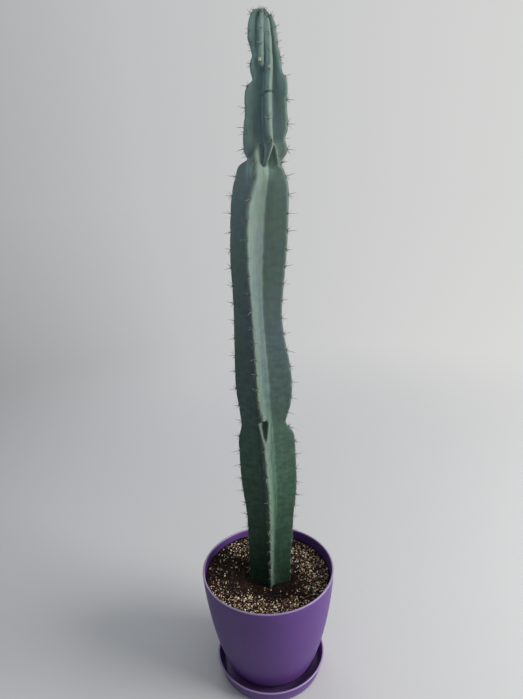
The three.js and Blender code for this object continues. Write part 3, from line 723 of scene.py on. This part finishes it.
def spines(areoles, crown):
    """The spines: two large ones at each areole, small ones round them, and the crown's."""
    large = draws(20)
    extra = draws(61)
    shape = spine_shape()
    places = []

    def place_spine(point, way, length, width, tone):
        matrix = upright(way) * np.array([width, width, length])
        places.append((0, matrix, point, tone))

    for areole in areoles:
        out, side = areole["out"], areole["side"]
        young = areole["height"] > CROWN_START
        length_share = CROWN_SPINE_LENGTH if young else 1
        for number, kind in enumerate(LARGE_SPINES):
            way, lean = spine_way(out, side, kind["spread"], 2 * math.pi * next(large))
            length = length_share * lerp(*kind["length"], next(large))
            root = areole["place"] + lean * number * SPINE_APART - out * SPINE_SUNK
            place_spine(root, way, length + SPINE_SUNK, kind["width"], next(extra))
        first = 2 * math.pi * next(extra)
        count = CROWN_SPINE_COUNT if young else SMALL_SPINES["count"]
        for number in range(count):
            round_turn = first + 2 * math.pi * (number + 0.5 * next(extra)) / count
            spread = lerp(*SMALL_SPINES["spread"], next(extra))
            way, lean = spine_way(areole["normal"], side, spread, round_turn)
            length = length_share * lerp(*SMALL_SPINES["length"], next(extra))
            root = areole["place"] + lean * SMALL_SPINES["off"] - out * SMALL_SPINES["sunk"]
            place_spine(root, way, length, SMALL_SPINES["width"], next(extra))
    for areole in crown:
        side = np.cross(areole["out"], direction(areole["turn"]))
        side /= np.linalg.norm(side)
        for number in range(CROWN_SPINES["count"]):
            round_turn = 2 * math.pi * (number + next(extra)) / CROWN_SPINES["count"]
            spread = lerp(*CROWN_SPINES["spread"], next(extra))
            way, lean = spine_way(areole["out"], side, spread, round_turn)
            way = way / np.linalg.norm(way)
            room = (CROWN_SPINES["highest"] - areole["place"][2]) / max(way[2], 0.1)
            length = min(lerp(*CROWN_SPINES["length"], next(extra)), room)
            root = areole["place"] + lean * CROWN_SPINES["off"] - areole["out"] * CROWN_SPINES["sunk"]
            place_spine(root, way, length, CROWN_SPINES["width"], CROWN_SPINES["palest"] * next(extra))
    return copies("spines", [shape], places, True)


def areole_felt(areoles, crown):
    """A small felt cushion with short hairs at every areole."""
    draw = draws(33)
    cushion = uneven_ball("felt", 2, FELT["uneven"], 0.1, 4)
    hair = hair_shape()
    places = []
    for areole in areoles + crown:
        out = areole.get("normal", areole["out"])
        size = areole["size"] * lerp(0.85, 1.15, next(draw))
        bleached = areole["place"][2] < OLD_FELT_TOP or areole.get("height") in THICK_FELT
        frame_of = upright(out)
        form = frame_of * np.array([FELT["width"], FELT["tall"], FELT["thick"]]) * size
        tone = lerp(0.6, 1, next(draw)) if bleached else 0.5 * next(draw)
        places.append((0, form, areole["place"] + out * FELT["raised"], tone))
        for _ in range(HAIRS["count"]):
            round_turn, spread = 2 * math.pi * next(draw), math.sqrt(next(draw))
            lean = frame_of[:, 0] * math.cos(round_turn) + frame_of[:, 1] * math.sin(round_turn)
            root = areole["place"] + lean * spread * size + out * HAIRS["raised"]
            length = lerp(*HAIRS["length"], next(draw)) * size
            form = upright(out + lean * spread) * np.array([HAIRS["radius"], HAIRS["radius"], length])
            places.append((1, form, root, tone))
    return copies("areole_felt", [cushion, hair], places, True)


# The soil

def pot_wall_point(share, inset):
    """Radius and height of the pot's outside at a share of its wall, from the corner up to the rim."""
    weights = [(1 - share) ** 3, 3 * share * (1 - share) ** 2, 3 * share ** 2 * (1 - share), share ** 3]
    return np.array(weights) @ np.array(POT_WALL_LINE, float) - (inset, 0)


def pot_wall_line(inset, steps, top_share):
    """Points up the pot's wall, at an inset from its outside."""
    return [pot_wall_point(top_share * i / steps, inset) for i in range(steps + 1)]


def arc_through(start, middle, end, steps):
    """Points of a bend from start to end that leans towards the middle point."""
    shares = np.linspace(0, 1, steps + 1)[:, None]
    start, middle, end = (np.array(p, float) for p in (start, middle, end))
    return list((1 - shares) ** 2 * start + 2 * shares * (1 - shares) * middle + shares ** 2 * end)


def pot_corner(inset, floor_height, steps):
    """Points of the rounded corner from the wall's foot in to the underside."""
    foot = pot_wall_point(0, inset)
    drop = foot[1] - floor_height
    middle = (foot[0] - drop * POT_CORNER["bend"], floor_height)
    return arc_through(foot, middle, (foot[0] - drop - POT_CORNER["past"], floor_height), steps)


def round_rim(outer_radius, wall, top, steps):
    """Points over a round rim, from its outside to its inside."""
    angles = np.linspace(0, math.pi, steps + 1)
    middle = (outer_radius - wall / 2, top - wall / 2)
    return [(middle[0] + wall / 2 * math.cos(a), middle[1] + wall / 2 * math.sin(a)) for a in angles]


def soil_height(x, y):
    """Height of the soil's surface, which dips round the stem, before its crumbs."""
    swell = 0.9 * np.sin(0.07 * x + 1.1) * np.cos(0.06 * y - 0.6)
    from_stem = np.hypot(x - along(AXIS_LEAN, SOIL_LEVEL), y) / SOIL_PIT["spread"]
    pit = SOIL_PIT["depth"] * np.exp(-from_stem ** 4)
    return SOIL_LEVEL + SOIL_SLOPE[0] * x + SOIL_SLOPE[1] * y + swell - pit


def crumb_relief(x, y):
    """Small clods and pits of the soil's surface."""
    rise = 0
    for clod in CLODS:
        rise += clod["rise"] * noise.noise(Vector((x / clod["width"], y / clod["width"], clod["slice"])))
    return rise


def soil_body():
    """The soil from the hole that the stem stands in, out over its crumbly top and down the pot's inside."""
    turns = 360 * np.arange(SOIL_COLUMNS) / SOIL_COLUMNS + 90
    hole_levels = np.concatenate([[STEM_BOTTOM + 1], np.linspace(STEM_BOTTOM + 8, SOIL_LEVEL - 14, 10)])
    hole = [stem_point(np.full(SOIL_COLUMNS, level), turns, REST_GAP) for level in hole_levels]
    inner = stem_point(np.full(SOIL_COLUMNS, float(SOIL_LEVEL)), turns, REST_GAP)
    inset = POT_WALL + REST_GAP + 0.1
    edge_radius = pot_wall_point(SOIL_EDGE_SHARE, inset)[0]
    outer = direction(turns) * edge_radius
    top = []
    for share in np.linspace(0, 1, SOIL_RINGS + 1):
        ring = lerp(inner, outer, share)
        swell = min(share / CLOD_RISE["at_stem"], (1 - share) / CLOD_RISE["at_pot"], 1)
        for point in ring:
            point[2] = soil_height(point[0], point[1]) + swell * crumb_relief(point[0], point[1])
        top.append(ring)
    floor_height = POT_UNDERSIDE + POT_FLOOR + REST_GAP
    wall_line = pot_wall_line(inset, 12, SOIL_EDGE_SHARE * 0.93)[::-1]
    wall_line += pot_corner(inset, floor_height, 6)[1:]
    sides = [direction(turns) * radius + (0, 0, height) for radius, height in wall_line]
    hole_floor = np.array([along(AXIS_LEAN, STEM_BOTTOM), 0, STEM_BOTTOM - 2 - REST_GAP])
    rows = np.array(hole + top + sides)
    return moulded_over("soil_body", rows, hole_floor, np.array([0, 0, floor_height]))[0]


def bark_shape():
    """One sliver of bark of unit length: a thin block with its edges bevelled and its ends narrowed."""
    piece = added("sliver", bpy.ops.mesh.primitive_cube_add, size=1)
    edit_all()
    bpy.ops.mesh.bevel(offset=0.18, segments=1, affect="EDGES")
    bpy.ops.mesh.bisect(plane_co=(0, 0, 0), plane_no=(0, 0, 1))
    bpy.ops.transform.resize(value=(1.3, 1.2, 1), center_override=(0, 0, 0))
    return faces_of(piece)


def even_share(x, y):
    """Crumbs and bark lie equally thick all over."""
    return 1


def grit_share(x, y):
    """How thick the grit lies: most at the front, the right back and the left back, least round the stem."""
    from_stem = math.hypot(x - 3, y)
    front = smooth(20, 55, -y - 0.15 * x)
    right = 0.75 * smooth(30, 60, x)
    thick = max(front, right, 0.15)
    for patch in GRIT_PATCHES:
        off = [(at - middle) / spread for at, middle, spread in zip((x, y), patch["middle"], patch["spread"])]
        thick = max(thick, patch["share"] * math.exp(-(off[0] ** 2 + off[1] ** 2)))
    return thick * (0.18 + 0.82 * smooth(29, 46, from_stem))


def scattered(count, apart, seed, share):
    """Places on the soil clear of the stem and the pot, none closer than apart, thick where share is high."""
    draw = draws(seed)
    edge = pot_wall_point(SOIL_EDGE_SHARE, POT_WALL)[0] - CLEAR_OF_POT
    clear_of_stem = stem_surface(SOIL_LEVEL, np.arange(360)) + CLEAR_OF_STEM
    far_off = 1e6
    kept = np.full((count, 2), far_off)
    placed = 0
    while placed < count:
        radius, turn = edge * math.sqrt(next(draw)), 360 * next(draw)
        x, y = radius * math.sin(math.radians(turn)), -radius * math.cos(math.radians(turn))
        if next(draw) > share(x, y):
            continue
        from_axis = (x - float(along(AXIS_LEAN, SOIL_LEVEL)), y)
        stem_turn = math.degrees(math.atan2(from_axis[0], -from_axis[1]))
        if math.hypot(*from_axis) < clear_of_stem[int(stem_turn) % 360]:
            continue
        if np.min(np.hypot(kept[:, 0] - x, kept[:, 1] - y)) < apart:
            continue
        kept[placed] = x, y
        placed += 1
    return kept


def resting(x, y, sink):
    """The place of a grain that sinks that deep into the soil's surface, over four fifths of its clods."""
    return np.array([x, y, soil_height(x, y) + 0.8 * crumb_relief(x, y) - sink])


def tumbled(draw, size, flatness):
    """A matrix that turns a grain any way and gives it its size, flatter from top to bottom."""
    way = np.array([next(draw) - 0.5, next(draw) - 0.5, next(draw) - 0.5]) + 1e-3
    turned = upright(way, 2 * math.pi * next(draw))
    widths = np.array([1, lerp(0.7, 1, next(draw)), lerp(0.6, 1, next(draw))])
    return np.diag([1, 1, flatness]) @ (turned * widths) * size


def grains(name, kind, share, draw):
    """Rough grains in the soil's top, most of them small: uneven balls of twenty faces, tumbled."""
    places = []
    for x, y in scattered(kind["count"], kind["apart"], kind["place_seed"], share):
        size = lerp(*kind["size"], next(draw) ** kind["smaller"])
        shape = int(kind["kinds"] * next(draw))
        form = tumbled(draw, size, kind["flatness"])
        places.append((shape, form, resting(x, y, kind["sink"] * size), next(draw)))
    seeds = range(kind["shape_seed"], kind["shape_seed"] + kind["kinds"])
    return copies(name, [uneven_ball("grain", 1, kind["uneven"], 0.3, seed) for seed in seeds], places, False)


def bark(share, draw):
    """Slivers of bark that lie nearly flat on the soil."""
    places = []
    for x, y in scattered(BARK["count"], BARK["apart"], BARK["place_seed"], share):
        way = np.array([next(draw) - 0.5, next(draw) - 0.5, BARK["tilt"] * (next(draw) - 0.5)])
        form = upright(way) * np.array([BARK["thick"], BARK["width"], lerp(*BARK["length"], next(draw))])
        places.append((0, form, resting(x, y, BARK["sink"]), next(draw)))
    return copies("soil_bark", [bark_shape()], places, False)


# The pot and the saucer

def turned_on_axis(name, profile):
    """A closed round shape: a profile is drawn point by point from the axis and spun about it."""
    piece = added(name, bpy.ops.mesh.primitive_plane_add, size=MM, location=(0, 0, 0))
    edit_all()
    bpy.ops.mesh.merge(type="CENTER")
    here = np.zeros(2)
    for number, point in enumerate(profile):
        step = np.asarray(point, float) - here
        value = (step[0] * MM, 0, step[1] * MM)
        if number == 0:
            bpy.ops.transform.translate(value=value)
        else:
            bpy.ops.mesh.extrude_vertices_move(TRANSFORM_OT_translate={"value": value})
        here = np.asarray(point, float)
    bpy.ops.mesh.select_all(action="SELECT")
    bpy.ops.mesh.spin(
        steps=ROUND_SIDES, angle=2 * math.pi, center=(0, 0, 0), axis=(0, 0, 1), use_auto_merge=True)
    bpy.ops.mesh.select_all(action="SELECT")
    bpy.ops.mesh.remove_doubles(threshold=1e-5)
    bpy.ops.mesh.normals_make_consistent(inside=False)
    bpy.ops.object.mode_set(mode="OBJECT")
    only(piece)
    bpy.ops.object.shade_smooth_by_angle(angle=math.radians(35))
    return piece


def pot():
    """The pot: a thin rounded cup on a foot ring, with small drain holes in its floor."""
    foot_bottom = SAUCER_FLOOR + REST_GAP
    floor_top = POT_UNDERSIDE + POT_FLOOR
    inner, outer = FOOT_RING["inner"], FOOT_RING["outer"]
    profile = [
        (0, POT_UNDERSIDE), (inner - 0.4, POT_UNDERSIDE), (inner, POT_UNDERSIDE - 0.2),
        (inner + 0.4, foot_bottom + 0.2), (inner + 0.8, foot_bottom), (outer - 1.2, foot_bottom),
        (outer - 0.8, foot_bottom + 0.2), (outer, POT_UNDERSIDE - 0.1), (outer + 0.5, POT_UNDERSIDE),
        *pot_corner(0, POT_UNDERSIDE, 9)[::-1][1:-1],
        *pot_wall_line(0, 26, POT_RIM_SHARE),
        *round_rim(POT_RIM_RADIUS, POT_WALL, POT_TOP, 10)[1:-1],
        *pot_wall_line(POT_WALL, 26, POT_RIM_SHARE)[::-1],
        *pot_corner(POT_WALL, floor_top, 9)[1:],
        (0, floor_top),
    ]
    piece = turned_on_axis("pot_shell", profile)
    drills = []
    for number in range(DRAIN_HOLES["count"]):
        place = direction(360 * number / DRAIN_HOLES["count"]) * DRAIN_HOLES["ring"] * MM
        place[2] = (POT_UNDERSIDE + POT_FLOOR / 2) * MM
        drills.append(added(
            "drill", bpy.ops.mesh.primitive_cylinder_add, vertices=DRAIN_HOLES["sides"],
            radius=DRAIN_HOLES["radius"] * MM, depth=4 * POT_FLOOR * MM, location=place))
    for drill in drills:
        drill.select_set(True)
    bpy.ops.object.join()
    drill = seat(bpy.context.active_object)
    only(piece)
    holes = piece.modifiers.new("drain_holes", "BOOLEAN")
    holes.operation = "DIFFERENCE"
    holes.object = drill
    bpy.ops.object.modifier_apply(modifier=holes.name)
    bpy.data.objects.remove(drill)
    return piece


def saucer():
    """The saucer: a flat round dish with a flared wall and a rounded rim."""
    foot = SAUCER_FOOT_RADIUS
    profile = [
        (0, 0),
        *arc_through((foot - 4, 0), (foot + 0.5, 0), (foot + 1.5, 4.5), 8),
        *round_rim(SAUCER_RIM_RADIUS, SAUCER_WALL, SAUCER_HEIGHT, 10),
        *arc_through((foot - 0.6, 6.5), (foot - 1.6, SAUCER_FLOOR), (foot - 5.5, SAUCER_FLOOR), 8),
        (0, SAUCER_FLOOR),
    ]
    return turned_on_axis("saucer_dish", profile)


# Materials

def linear(hex_colour):
    """An sRGB hex colour as linear values."""
    channels = [int(hex_colour[i:i + 2], 16) / 255 for i in (1, 3, 5)]
    return [c / 12.92 if c <= 0.04045 else ((c + 0.055) / 1.055) ** 2.4 for c in channels] + [1.0]


def node(tree, kind, inputs=None, stops=None, **settings):
    """Adds a node with its settings, the links or values of its inputs, and a ramp's stops."""
    made = tree.nodes.new("ShaderNode" + kind)
    for name, value in settings.items():
        setattr(made, name, value)
    for name, value in (inputs or {}).items():
        source = value.outputs[0] if isinstance(value, bpy.types.Node) else value
        if isinstance(source, bpy.types.NodeSocket):
            tree.links.new(source, made.inputs[name])
        else:
            made.inputs[name].default_value = linear(value) if isinstance(value, str) else value
    for number, (position, value) in enumerate(stops or []):
        while len(made.color_ramp.elements) <= number:
            made.color_ramp.elements.new(position)
        made.color_ramp.elements[number].position = position
        made.color_ramp.elements[number].color = linear(value)
    return made


def new_material(name):
    """An empty node material with its output, and the object coordinates that its patterns use."""
    made = bpy.data.materials.new(name)
    made.use_nodes = True
    made.node_tree.nodes.clear()
    return made, made.node_tree, node(made.node_tree, "TexCoord").outputs["Object"]


def finish_material(tree, colour, roughness, height, bump, **sockets):
    """The shader with its bump, where height is in millimetres, and its constant settings."""
    bumped = node(tree, "Bump", {"Height": height, "Strength": bump, "Distance": MM})
    settings = {"Base Color": colour, "Roughness": roughness, "Normal": bumped}
    settings.update({name.replace("_", " "): value for name, value in sockets.items()})
    node(tree, "OutputMaterial", {"Surface": node(tree, "BsdfPrincipled", settings)})


def own_colours(tree, place, stops, width, detail, shade):
    """Each copy's own colour by its tone, shaded by a pattern of a width in millimetres, and that pattern."""
    tone = node(tree, "Attribute", attribute_name="tone").outputs["Fac"]
    colour = node(tree, "ValToRGB", {"Fac": tone}, stops=stops)
    pattern = node(tree, "TexNoise", {"Vector": place, "Scale": 1 / (width * MM), "Detail": detail})
    share = node(tree, "MapRange", {"Value": pattern, "To Min": shade[0], "To Max": shade[1]})
    shaded = node(tree, "MixRGB", {"Fac": 1.0, "Color1": colour, "Color2": share}, blend_type="MULTIPLY")
    return shaded, pattern


def waxy_skin():
    """Cactus epidermis under a waxy bloom: satin, paler beside its crests, partly as painted light, dull
    where the wax is thick; painted shade low down and at the top.
    """
    made, tree, place = new_material("waxy_cactus_epidermis")
    bloom_and_painted_light, crease, hollow_light = (
        node(tree, "Attribute", attribute_name=name).outputs["Fac"] for name in ("bloom_and_painted_light", "fold", "hollow_light"))
    height = node(tree, "SeparateXYZ", {"Vector": place}).outputs["Z"]
    # Patches 25 mm wide and three times as tall, where the flesh is greener or more blue
    tall = node(tree, "Mapping", {"Vector": place, "Scale": (1, 1, 0.33)})
    patches = node(tree, "TexNoise", {"Vector": tall, "Scale": 1 / (25 * MM), "Detail": 3.0})
    patch_share = node(tree, "MapRange", {"Value": patches, "From Min": 0.36, "From Max": 0.64})
    skin = node(tree, "MixRGB", {"Fac": patch_share, "Color1": "#465850", "Color2": "#46565B"})
    # Painted shade: the flesh is painted greener and darker towards the bottom, darkest next to the soil, and
    # a little darker and bluer at the top. Painted light: it is painted paler in the hollows at the top
    # growth's foot
    painted_light_and_shade = [
        ("#2F4A3C", {"Value": height, "From Min": 0.44, "From Max": 0.24}),
        ("#192D22", {"Value": height, "From Min": 0.27, "From Max": 0.14}),
        ("#3B5352", {"Value": height, "From Min": 0.62, "From Max": 0.7, "To Max": 0.7}),
        ("#748E83", {"Value": hollow_light, "To Max": 0.65}),
    ]
    for colour, part in painted_light_and_shade:
        share = node(tree, "MapRange", part)
        skin = node(tree, "MixRGB", {"Fac": share, "Color1": skin, "Color2": colour})
    # Mottling of the flesh, in patches 8 mm wide and two thirds as tall, strongest on the lowest growth
    squat = node(tree, "Mapping", {"Vector": place, "Scale": (1, 1, 1.5)})
    mottle = node(tree, "TexNoise", {"Vector": squat, "Scale": 1 / (8 * MM), "Detail": 4.0})
    shade = node(tree, "MapRange", {
        "Value": mottle, "From Min": 0.35, "From Max": 0.65, "To Min": 0.78, "To Max": 1.22})
    mottling = node(tree, "MapRange", {
        "Value": height, "From Min": 0.46, "From Max": 0.3, "To Min": 0.4, "To Max": 1.0})
    mottled = node(tree, "MixRGB", {"Fac": mottling, "Color1": skin, "Color2": shade}, blend_type="MULTIPLY")
    # The wax is thickest beside the crests, and lies in streaks 3 mm wide down the flanks. Its paleness is
    # partly painted light, spread wider towards the window's side, and thinned at mid-height as painted shade
    streaked = node(tree, "Mapping", {"Vector": place, "Scale": (1, 1, 0.12)})
    streaks = node(tree, "TexNoise", {"Vector": streaked, "Scale": 1 / (3 * MM), "Detail": 4.0})
    wax_and_painted_light = node(tree, "Math", {0: bloom_and_painted_light, 1: 0.8, 2: streaks}, operation="MULTIPLY_ADD")
    wax_and_painted_light_share = node(tree, "MapRange", {"Value": wax_and_painted_light, "From Min": 0.55, "From Max": 1.3, "To Max": 0.36})
    bloom_and_painted_light_colour = node(tree, "MixRGB", {"Fac": wax_and_painted_light_share, "Color1": mottled, "Color2": "#77897F"})
    # Little light gets into the crease
    creased = node(tree, "MixRGB", {"Fac": crease, "Color1": bloom_and_painted_light_colour, "Color2": "#1C2B27"})
    # Small corky scars, most of them near the soil
    spots = node(tree, "TexNoise", {"Vector": place, "Scale": 1 / (2 * MM), "Detail": 2.0})
    cork_limit = node(tree, "MapRange", {
        "Value": height, "From Min": 0.125, "From Max": 0.17, "To Min": 0.6, "To Max": 0.75})
    over = node(tree, "Math", {0: spots, 1: cork_limit}, operation="SUBTRACT")
    cork = node(tree, "MapRange", {"Value": over, "From Max": 0.05, "To Max": 0.5})
    scarred = node(tree, "MixRGB", {"Fac": cork, "Color1": creased, "Color2": "#57564A"})
    roughness = node(tree, "MapRange", {"Value": wax_and_painted_light_share, "To Min": 0.5, "To Max": 0.85})
    # Fine wrinkles half a millimetre apart
    fine = node(tree, "TexNoise", {"Vector": place, "Scale": 1 / (0.55 * MM), "Detail": 3.0})
    raised = node(tree, "Math", {0: cork, 1: 1.5, 2: fine}, operation="MULTIPLY_ADD")
    finish_material(tree, scarred, roughness, raised, 0.12, IOR=1.4, Specular_IOR_Level=0.3)
    return made


def felt_wool():
    """The wool of an areole: short, dry and matt, grey-green, and pale where it is thick or bleached."""
    made, tree, place = new_material("areole_wool")
    # Clumps of hairs 0.3 mm across
    stops = [(0, "#536159"), (0.5, "#727C71"), (1, "#A6A898")]
    wool, clumps = own_colours(tree, place, stops, width=0.3, detail=2.0, shade=(0.6, 1.1))
    finish_material(tree, wool, 0.95, clumps, 0.5, Specular_IOR_Level=0.2)
    return made


def spine_horn():
    """Cactus spines: hard and horny, with a slight gloss, each its own shade from near black to grey."""
    made, tree, place = new_material("spine_horn")
    # Bands a millimetre long, where the horn is a little lighter
    stops = [(0, "#222324"), (0.4, "#3D3E3E"), (0.75, "#5F605D"), (1, "#82827A")]
    horn, bands = own_colours(tree, place, stops, width=1.1, detail=1.0, shade=(0.6, 1.4))
    finish_material(tree, horn, 0.45, bands, 0.1, IOR=1.54)
    return made


def moist_peat():
    """Peat and composted bark: near black where moist, brown where dry, crumbly and matt."""
    made, tree, place = new_material("moist_peat")
    # Patches 20 mm wide of wet and dry peat, and crumbs 1.5 mm wide
    wet = node(tree, "TexNoise", {"Vector": place, "Scale": 1 / (20 * MM), "Detail": 3.0})
    crumbs = node(tree, "TexNoise", {"Vector": place, "Scale": 1 / (1.5 * MM), "Detail": 4.0})
    mixed = node(tree, "Math", {0: wet, 1: 0.8, 2: crumbs}, operation="MULTIPLY_ADD")
    peat = node(tree, "ValToRGB", {"Fac": mixed}, stops=[(0.6, "#090605"), (0.95, "#130D0A"), (1, "#281B14")])
    finish_material(tree, peat, 0.92, crumbs, 0.9, Specular_IOR_Level=0.15)
    return made


def peat_crumb():
    """Loose clods of the same peat and slivers of bark, each with its own brown."""
    made, tree, place = new_material("peat_crumb")
    # Fibres half a millimetre wide
    stops = [(0, "#0C0807"), (0.55, "#170E0B"), (0.85, "#2C1B14"), (1, "#4C3224")]
    brown, fibres = own_colours(tree, place, stops, width=0.5, detail=3.0, shade=(0.5, 1.5))
    finish_material(tree, brown, 0.95, fibres, 0.7, Specular_IOR_Level=0.15)
    return made


def pale_grit():
    """Crushed stone grit: dry and matt, mostly tan to cream, some of it stained brown by the peat."""
    made, tree, place = new_material("pale_stone_grit")
    # Pits of the stone 0.4 mm wide
    stops = [(0, "#3A261B"), (0.3, "#73543B"), (0.55, "#A88D6C"), (0.85, "#D2C3A7"), (1, "#E9E2D4")]
    stone, pits = own_colours(tree, place, stops, width=0.4, detail=2.0, shade=(0.7, 1.2))
    finish_material(tree, stone, 0.8, pits, 0.4, IOR=1.54)
    return made


def moulded_polypropylene(name, body, deep, dust_top, rim):
    """Injection moulded polypropylene: satin, coloured through, dusty near its foot, with a rim that is
    scuffed and carries a painted highlight.
    """
    made, tree, place = new_material(name)
    height = node(tree, "SeparateXYZ", {"Vector": place}).outputs["Z"]
    # Flow of the melt in clouds 30 mm wide, and the mould's fine texture 0.5 mm wide
    flow = node(tree, "TexNoise", {"Vector": place, "Scale": 1 / (30 * MM), "Detail": 2.0})
    texture = node(tree, "TexNoise", {"Vector": place, "Scale": 1 / (0.5 * MM), "Detail": 2.0})
    clouds = node(tree, "MixRGB", {"Fac": flow, "Color1": body, "Color2": deep})
    # Hard water and dust that dried on the lowest part, in spots 2.4 mm wide
    spots = node(tree, "TexNoise", {"Vector": place, "Scale": 1 / (2.4 * MM), "Detail": 4.0})
    low = node(tree, "MapRange", {"Value": height, "From Max": dust_top, "To Min": 0.16, "To Max": 0.0})
    dusty = node(tree, "Math", {0: spots, 1: low}, operation="MULTIPLY")
    dusted = node(tree, "MixRGB", {"Fac": dusty, "Color1": clouds, "Color2": "#B9AFA6"})
    # The last millimetre and a half under the rim's top is rubbed paler and painted lighter, a painted
    # highlight of the light from above
    rim_wear_and_painted_highlight = node(tree, "MapRange", {
        "Value": height, "From Min": (rim - 1.5) * MM, "From Max": (rim - 0.3) * MM, "To Max": 0.4})
    scuffed_and_painted_highlight = node(tree, "MixRGB", {"Fac": rim_wear_and_painted_highlight, "Color1": dusted, "Color2": "#B5A9C6"})
    rough = node(tree, "MapRange", {"Value": spots, "To Min": 0.42, "To Max": 0.54})
    finish_material(tree, scuffed_and_painted_highlight, rough, texture, 0.06, IOR=1.49, Specular_IOR_Level=0.45)
    return made


def room_light(tree, way):
    """The plain backdrop's colour in a direction: lighter on the window's side."""
    sideways = node(tree, "SeparateXYZ", {"Vector": way}).outputs["X"]
    share = node(tree, "MapRange", {"Value": sideways, "From Min": -1.0})
    return node(tree, "ValToRGB", {"Fac": share}, stops=[
        (0.1, BACKDROP["away"]), (0.4, BACKDROP["middle"]), (0.9, BACKDROP["window_side"])])


def pale_floor():
    """A plain matt studio floor that fades into the backdrop's own light far from the object."""
    made, tree, place = new_material("pale_studio_floor")
    flat = node(tree, "Mapping", {"Vector": place, "Scale": (1, 1, 0)})
    away = node(tree, "VectorMath", {0: flat}, operation="LENGTH").outputs["Value"]
    fade = node(tree, "MapRange", {
        "Value": away, "From Min": FLOOR_FADE[0], "From Max": FLOOR_FADE[1]}, interpolation_type="SMOOTHSTEP")
    matt = node(tree, "BsdfDiffuse", {"Color": "#B4B7BB"})
    way = node(tree, "VectorMath", {0: flat}, operation="NORMALIZE")
    light = node(tree, "Emission", {"Color": room_light(tree, way)})
    node(tree, "OutputMaterial", {"Surface": node(tree, "MixShader", {0: fade, 1: matt, 2: light})})
    return made


# Studio: camera, lights and floor

def camera():
    """The photograph's camera, above the plant's middle, looking down and slightly rolled."""
    pitch, roll, yaw = (math.radians(CAMERA[name]) for name in ("pitch", "roll", "yaw"))
    ahead = Vector((math.sin(yaw) * math.cos(pitch), math.cos(yaw) * math.cos(pitch), -math.sin(pitch)))
    right = ahead.cross(Vector((0, 0, 1))).normalized()
    up = right.cross(ahead)
    side = right * math.cos(roll) + up * math.sin(roll)
    top = up * math.cos(roll) - right * math.sin(roll)
    data = bpy.data.cameras.new("photo_camera")
    data.sensor_fit = "VERTICAL"
    data.sensor_height = 36
    data.lens = CAMERA["focal"] / CAMERA["height"] * data.sensor_height
    made = bpy.data.objects.new("photo_camera", data)
    facing = Matrix((side, top, -ahead)).transposed().to_4x4()
    made.matrix_world = Matrix.Translation(Vector(CAMERA["place"])) @ facing
    bpy.context.scene.collection.objects.link(made)
    bpy.context.scene.camera = made


def soft_light(name, light):
    """A soft rectangle of light that faces its target."""
    data = bpy.data.lights.new(name, "AREA")
    data.shape = "RECTANGLE"
    data.size, data.size_y = light["size"]
    data.spread = math.radians(light["spread"])
    data.energy = light["power"]
    data.color = linear(light["colour"])[:3]
    made = bpy.data.objects.new(name, data)
    made.location = light["place"]
    way = Vector(light["target"]) - Vector(light["place"])
    made.rotation_euler = way.to_track_quat("-Z", "Y").to_euler()
    bpy.context.scene.collection.objects.link(made)


def studio():
    """The lights, the backdrop all round and the floor, with colours shown as they are."""
    bpy.context.scene.view_settings.view_transform = "Standard"
    soft_light("window", WINDOW)
    soft_light("fill", FILL)
    soft_light("back_light", BACK_LIGHT)
    world = bpy.data.worlds.new("studio")
    bpy.context.scene.world = world
    world.use_nodes = True
    tree = world.node_tree
    tree.nodes.clear()
    way = node(tree, "TexCoord").outputs["Generated"]
    node(tree, "OutputWorld", {"Surface": node(tree, "Background", {"Color": room_light(tree, way)})})
    floor = added(
        "studio_floor", bpy.ops.mesh.primitive_circle_add, vertices=96, radius=30, fill_type="NGON",
        location=(0, 0, 0))
    floor.data.materials.append(pale_floor())


def dress(piece, look, *nodes, slot=None):
    """Gives a finished piece its material and its body, and hides the nodes that it stands for. Its slot is
    not used.
    """
    piece.data.materials.clear()
    piece.data.materials.append(look)
    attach(piece, "root")
    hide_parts(*nodes)


camera()
studio()

areoles, crown = areole_places(), crown_places()
dress(stem_skin(), waxy_skin(), "cactus", slot="cactus_skin")
dress(areole_felt(areoles, crown), felt_wool(), "cactus")
dress(spines(areoles, crown), spine_horn(), "cactus")

crumb_look = peat_crumb()
dress(soil_body(), moist_peat(), "soil", slot="gritty_soil")
grain_draw = draws(90)
dress(grains("soil_crumbs", CRUMBS, even_share, grain_draw), crumb_look, "soil")
dress(grains("soil_grit", GRIT, grit_share, grain_draw), pale_grit(), "soil")
dress(bark(even_share, grain_draw), crumb_look, "soil")

pot_look = moulded_polypropylene("violet_pot_polypropylene", "#4B2D6F", "#412664", 0.03, POT_TOP)
saucer_look = moulded_polypropylene("violet_saucer_polypropylene", "#4D2C73", "#442569", 0.02, SAUCER_HEIGHT)
dress(pot(), pot_look, "pot", slot="pot_plastic")
dress(saucer(), saucer_look, "saucer", slot="saucer_plastic")
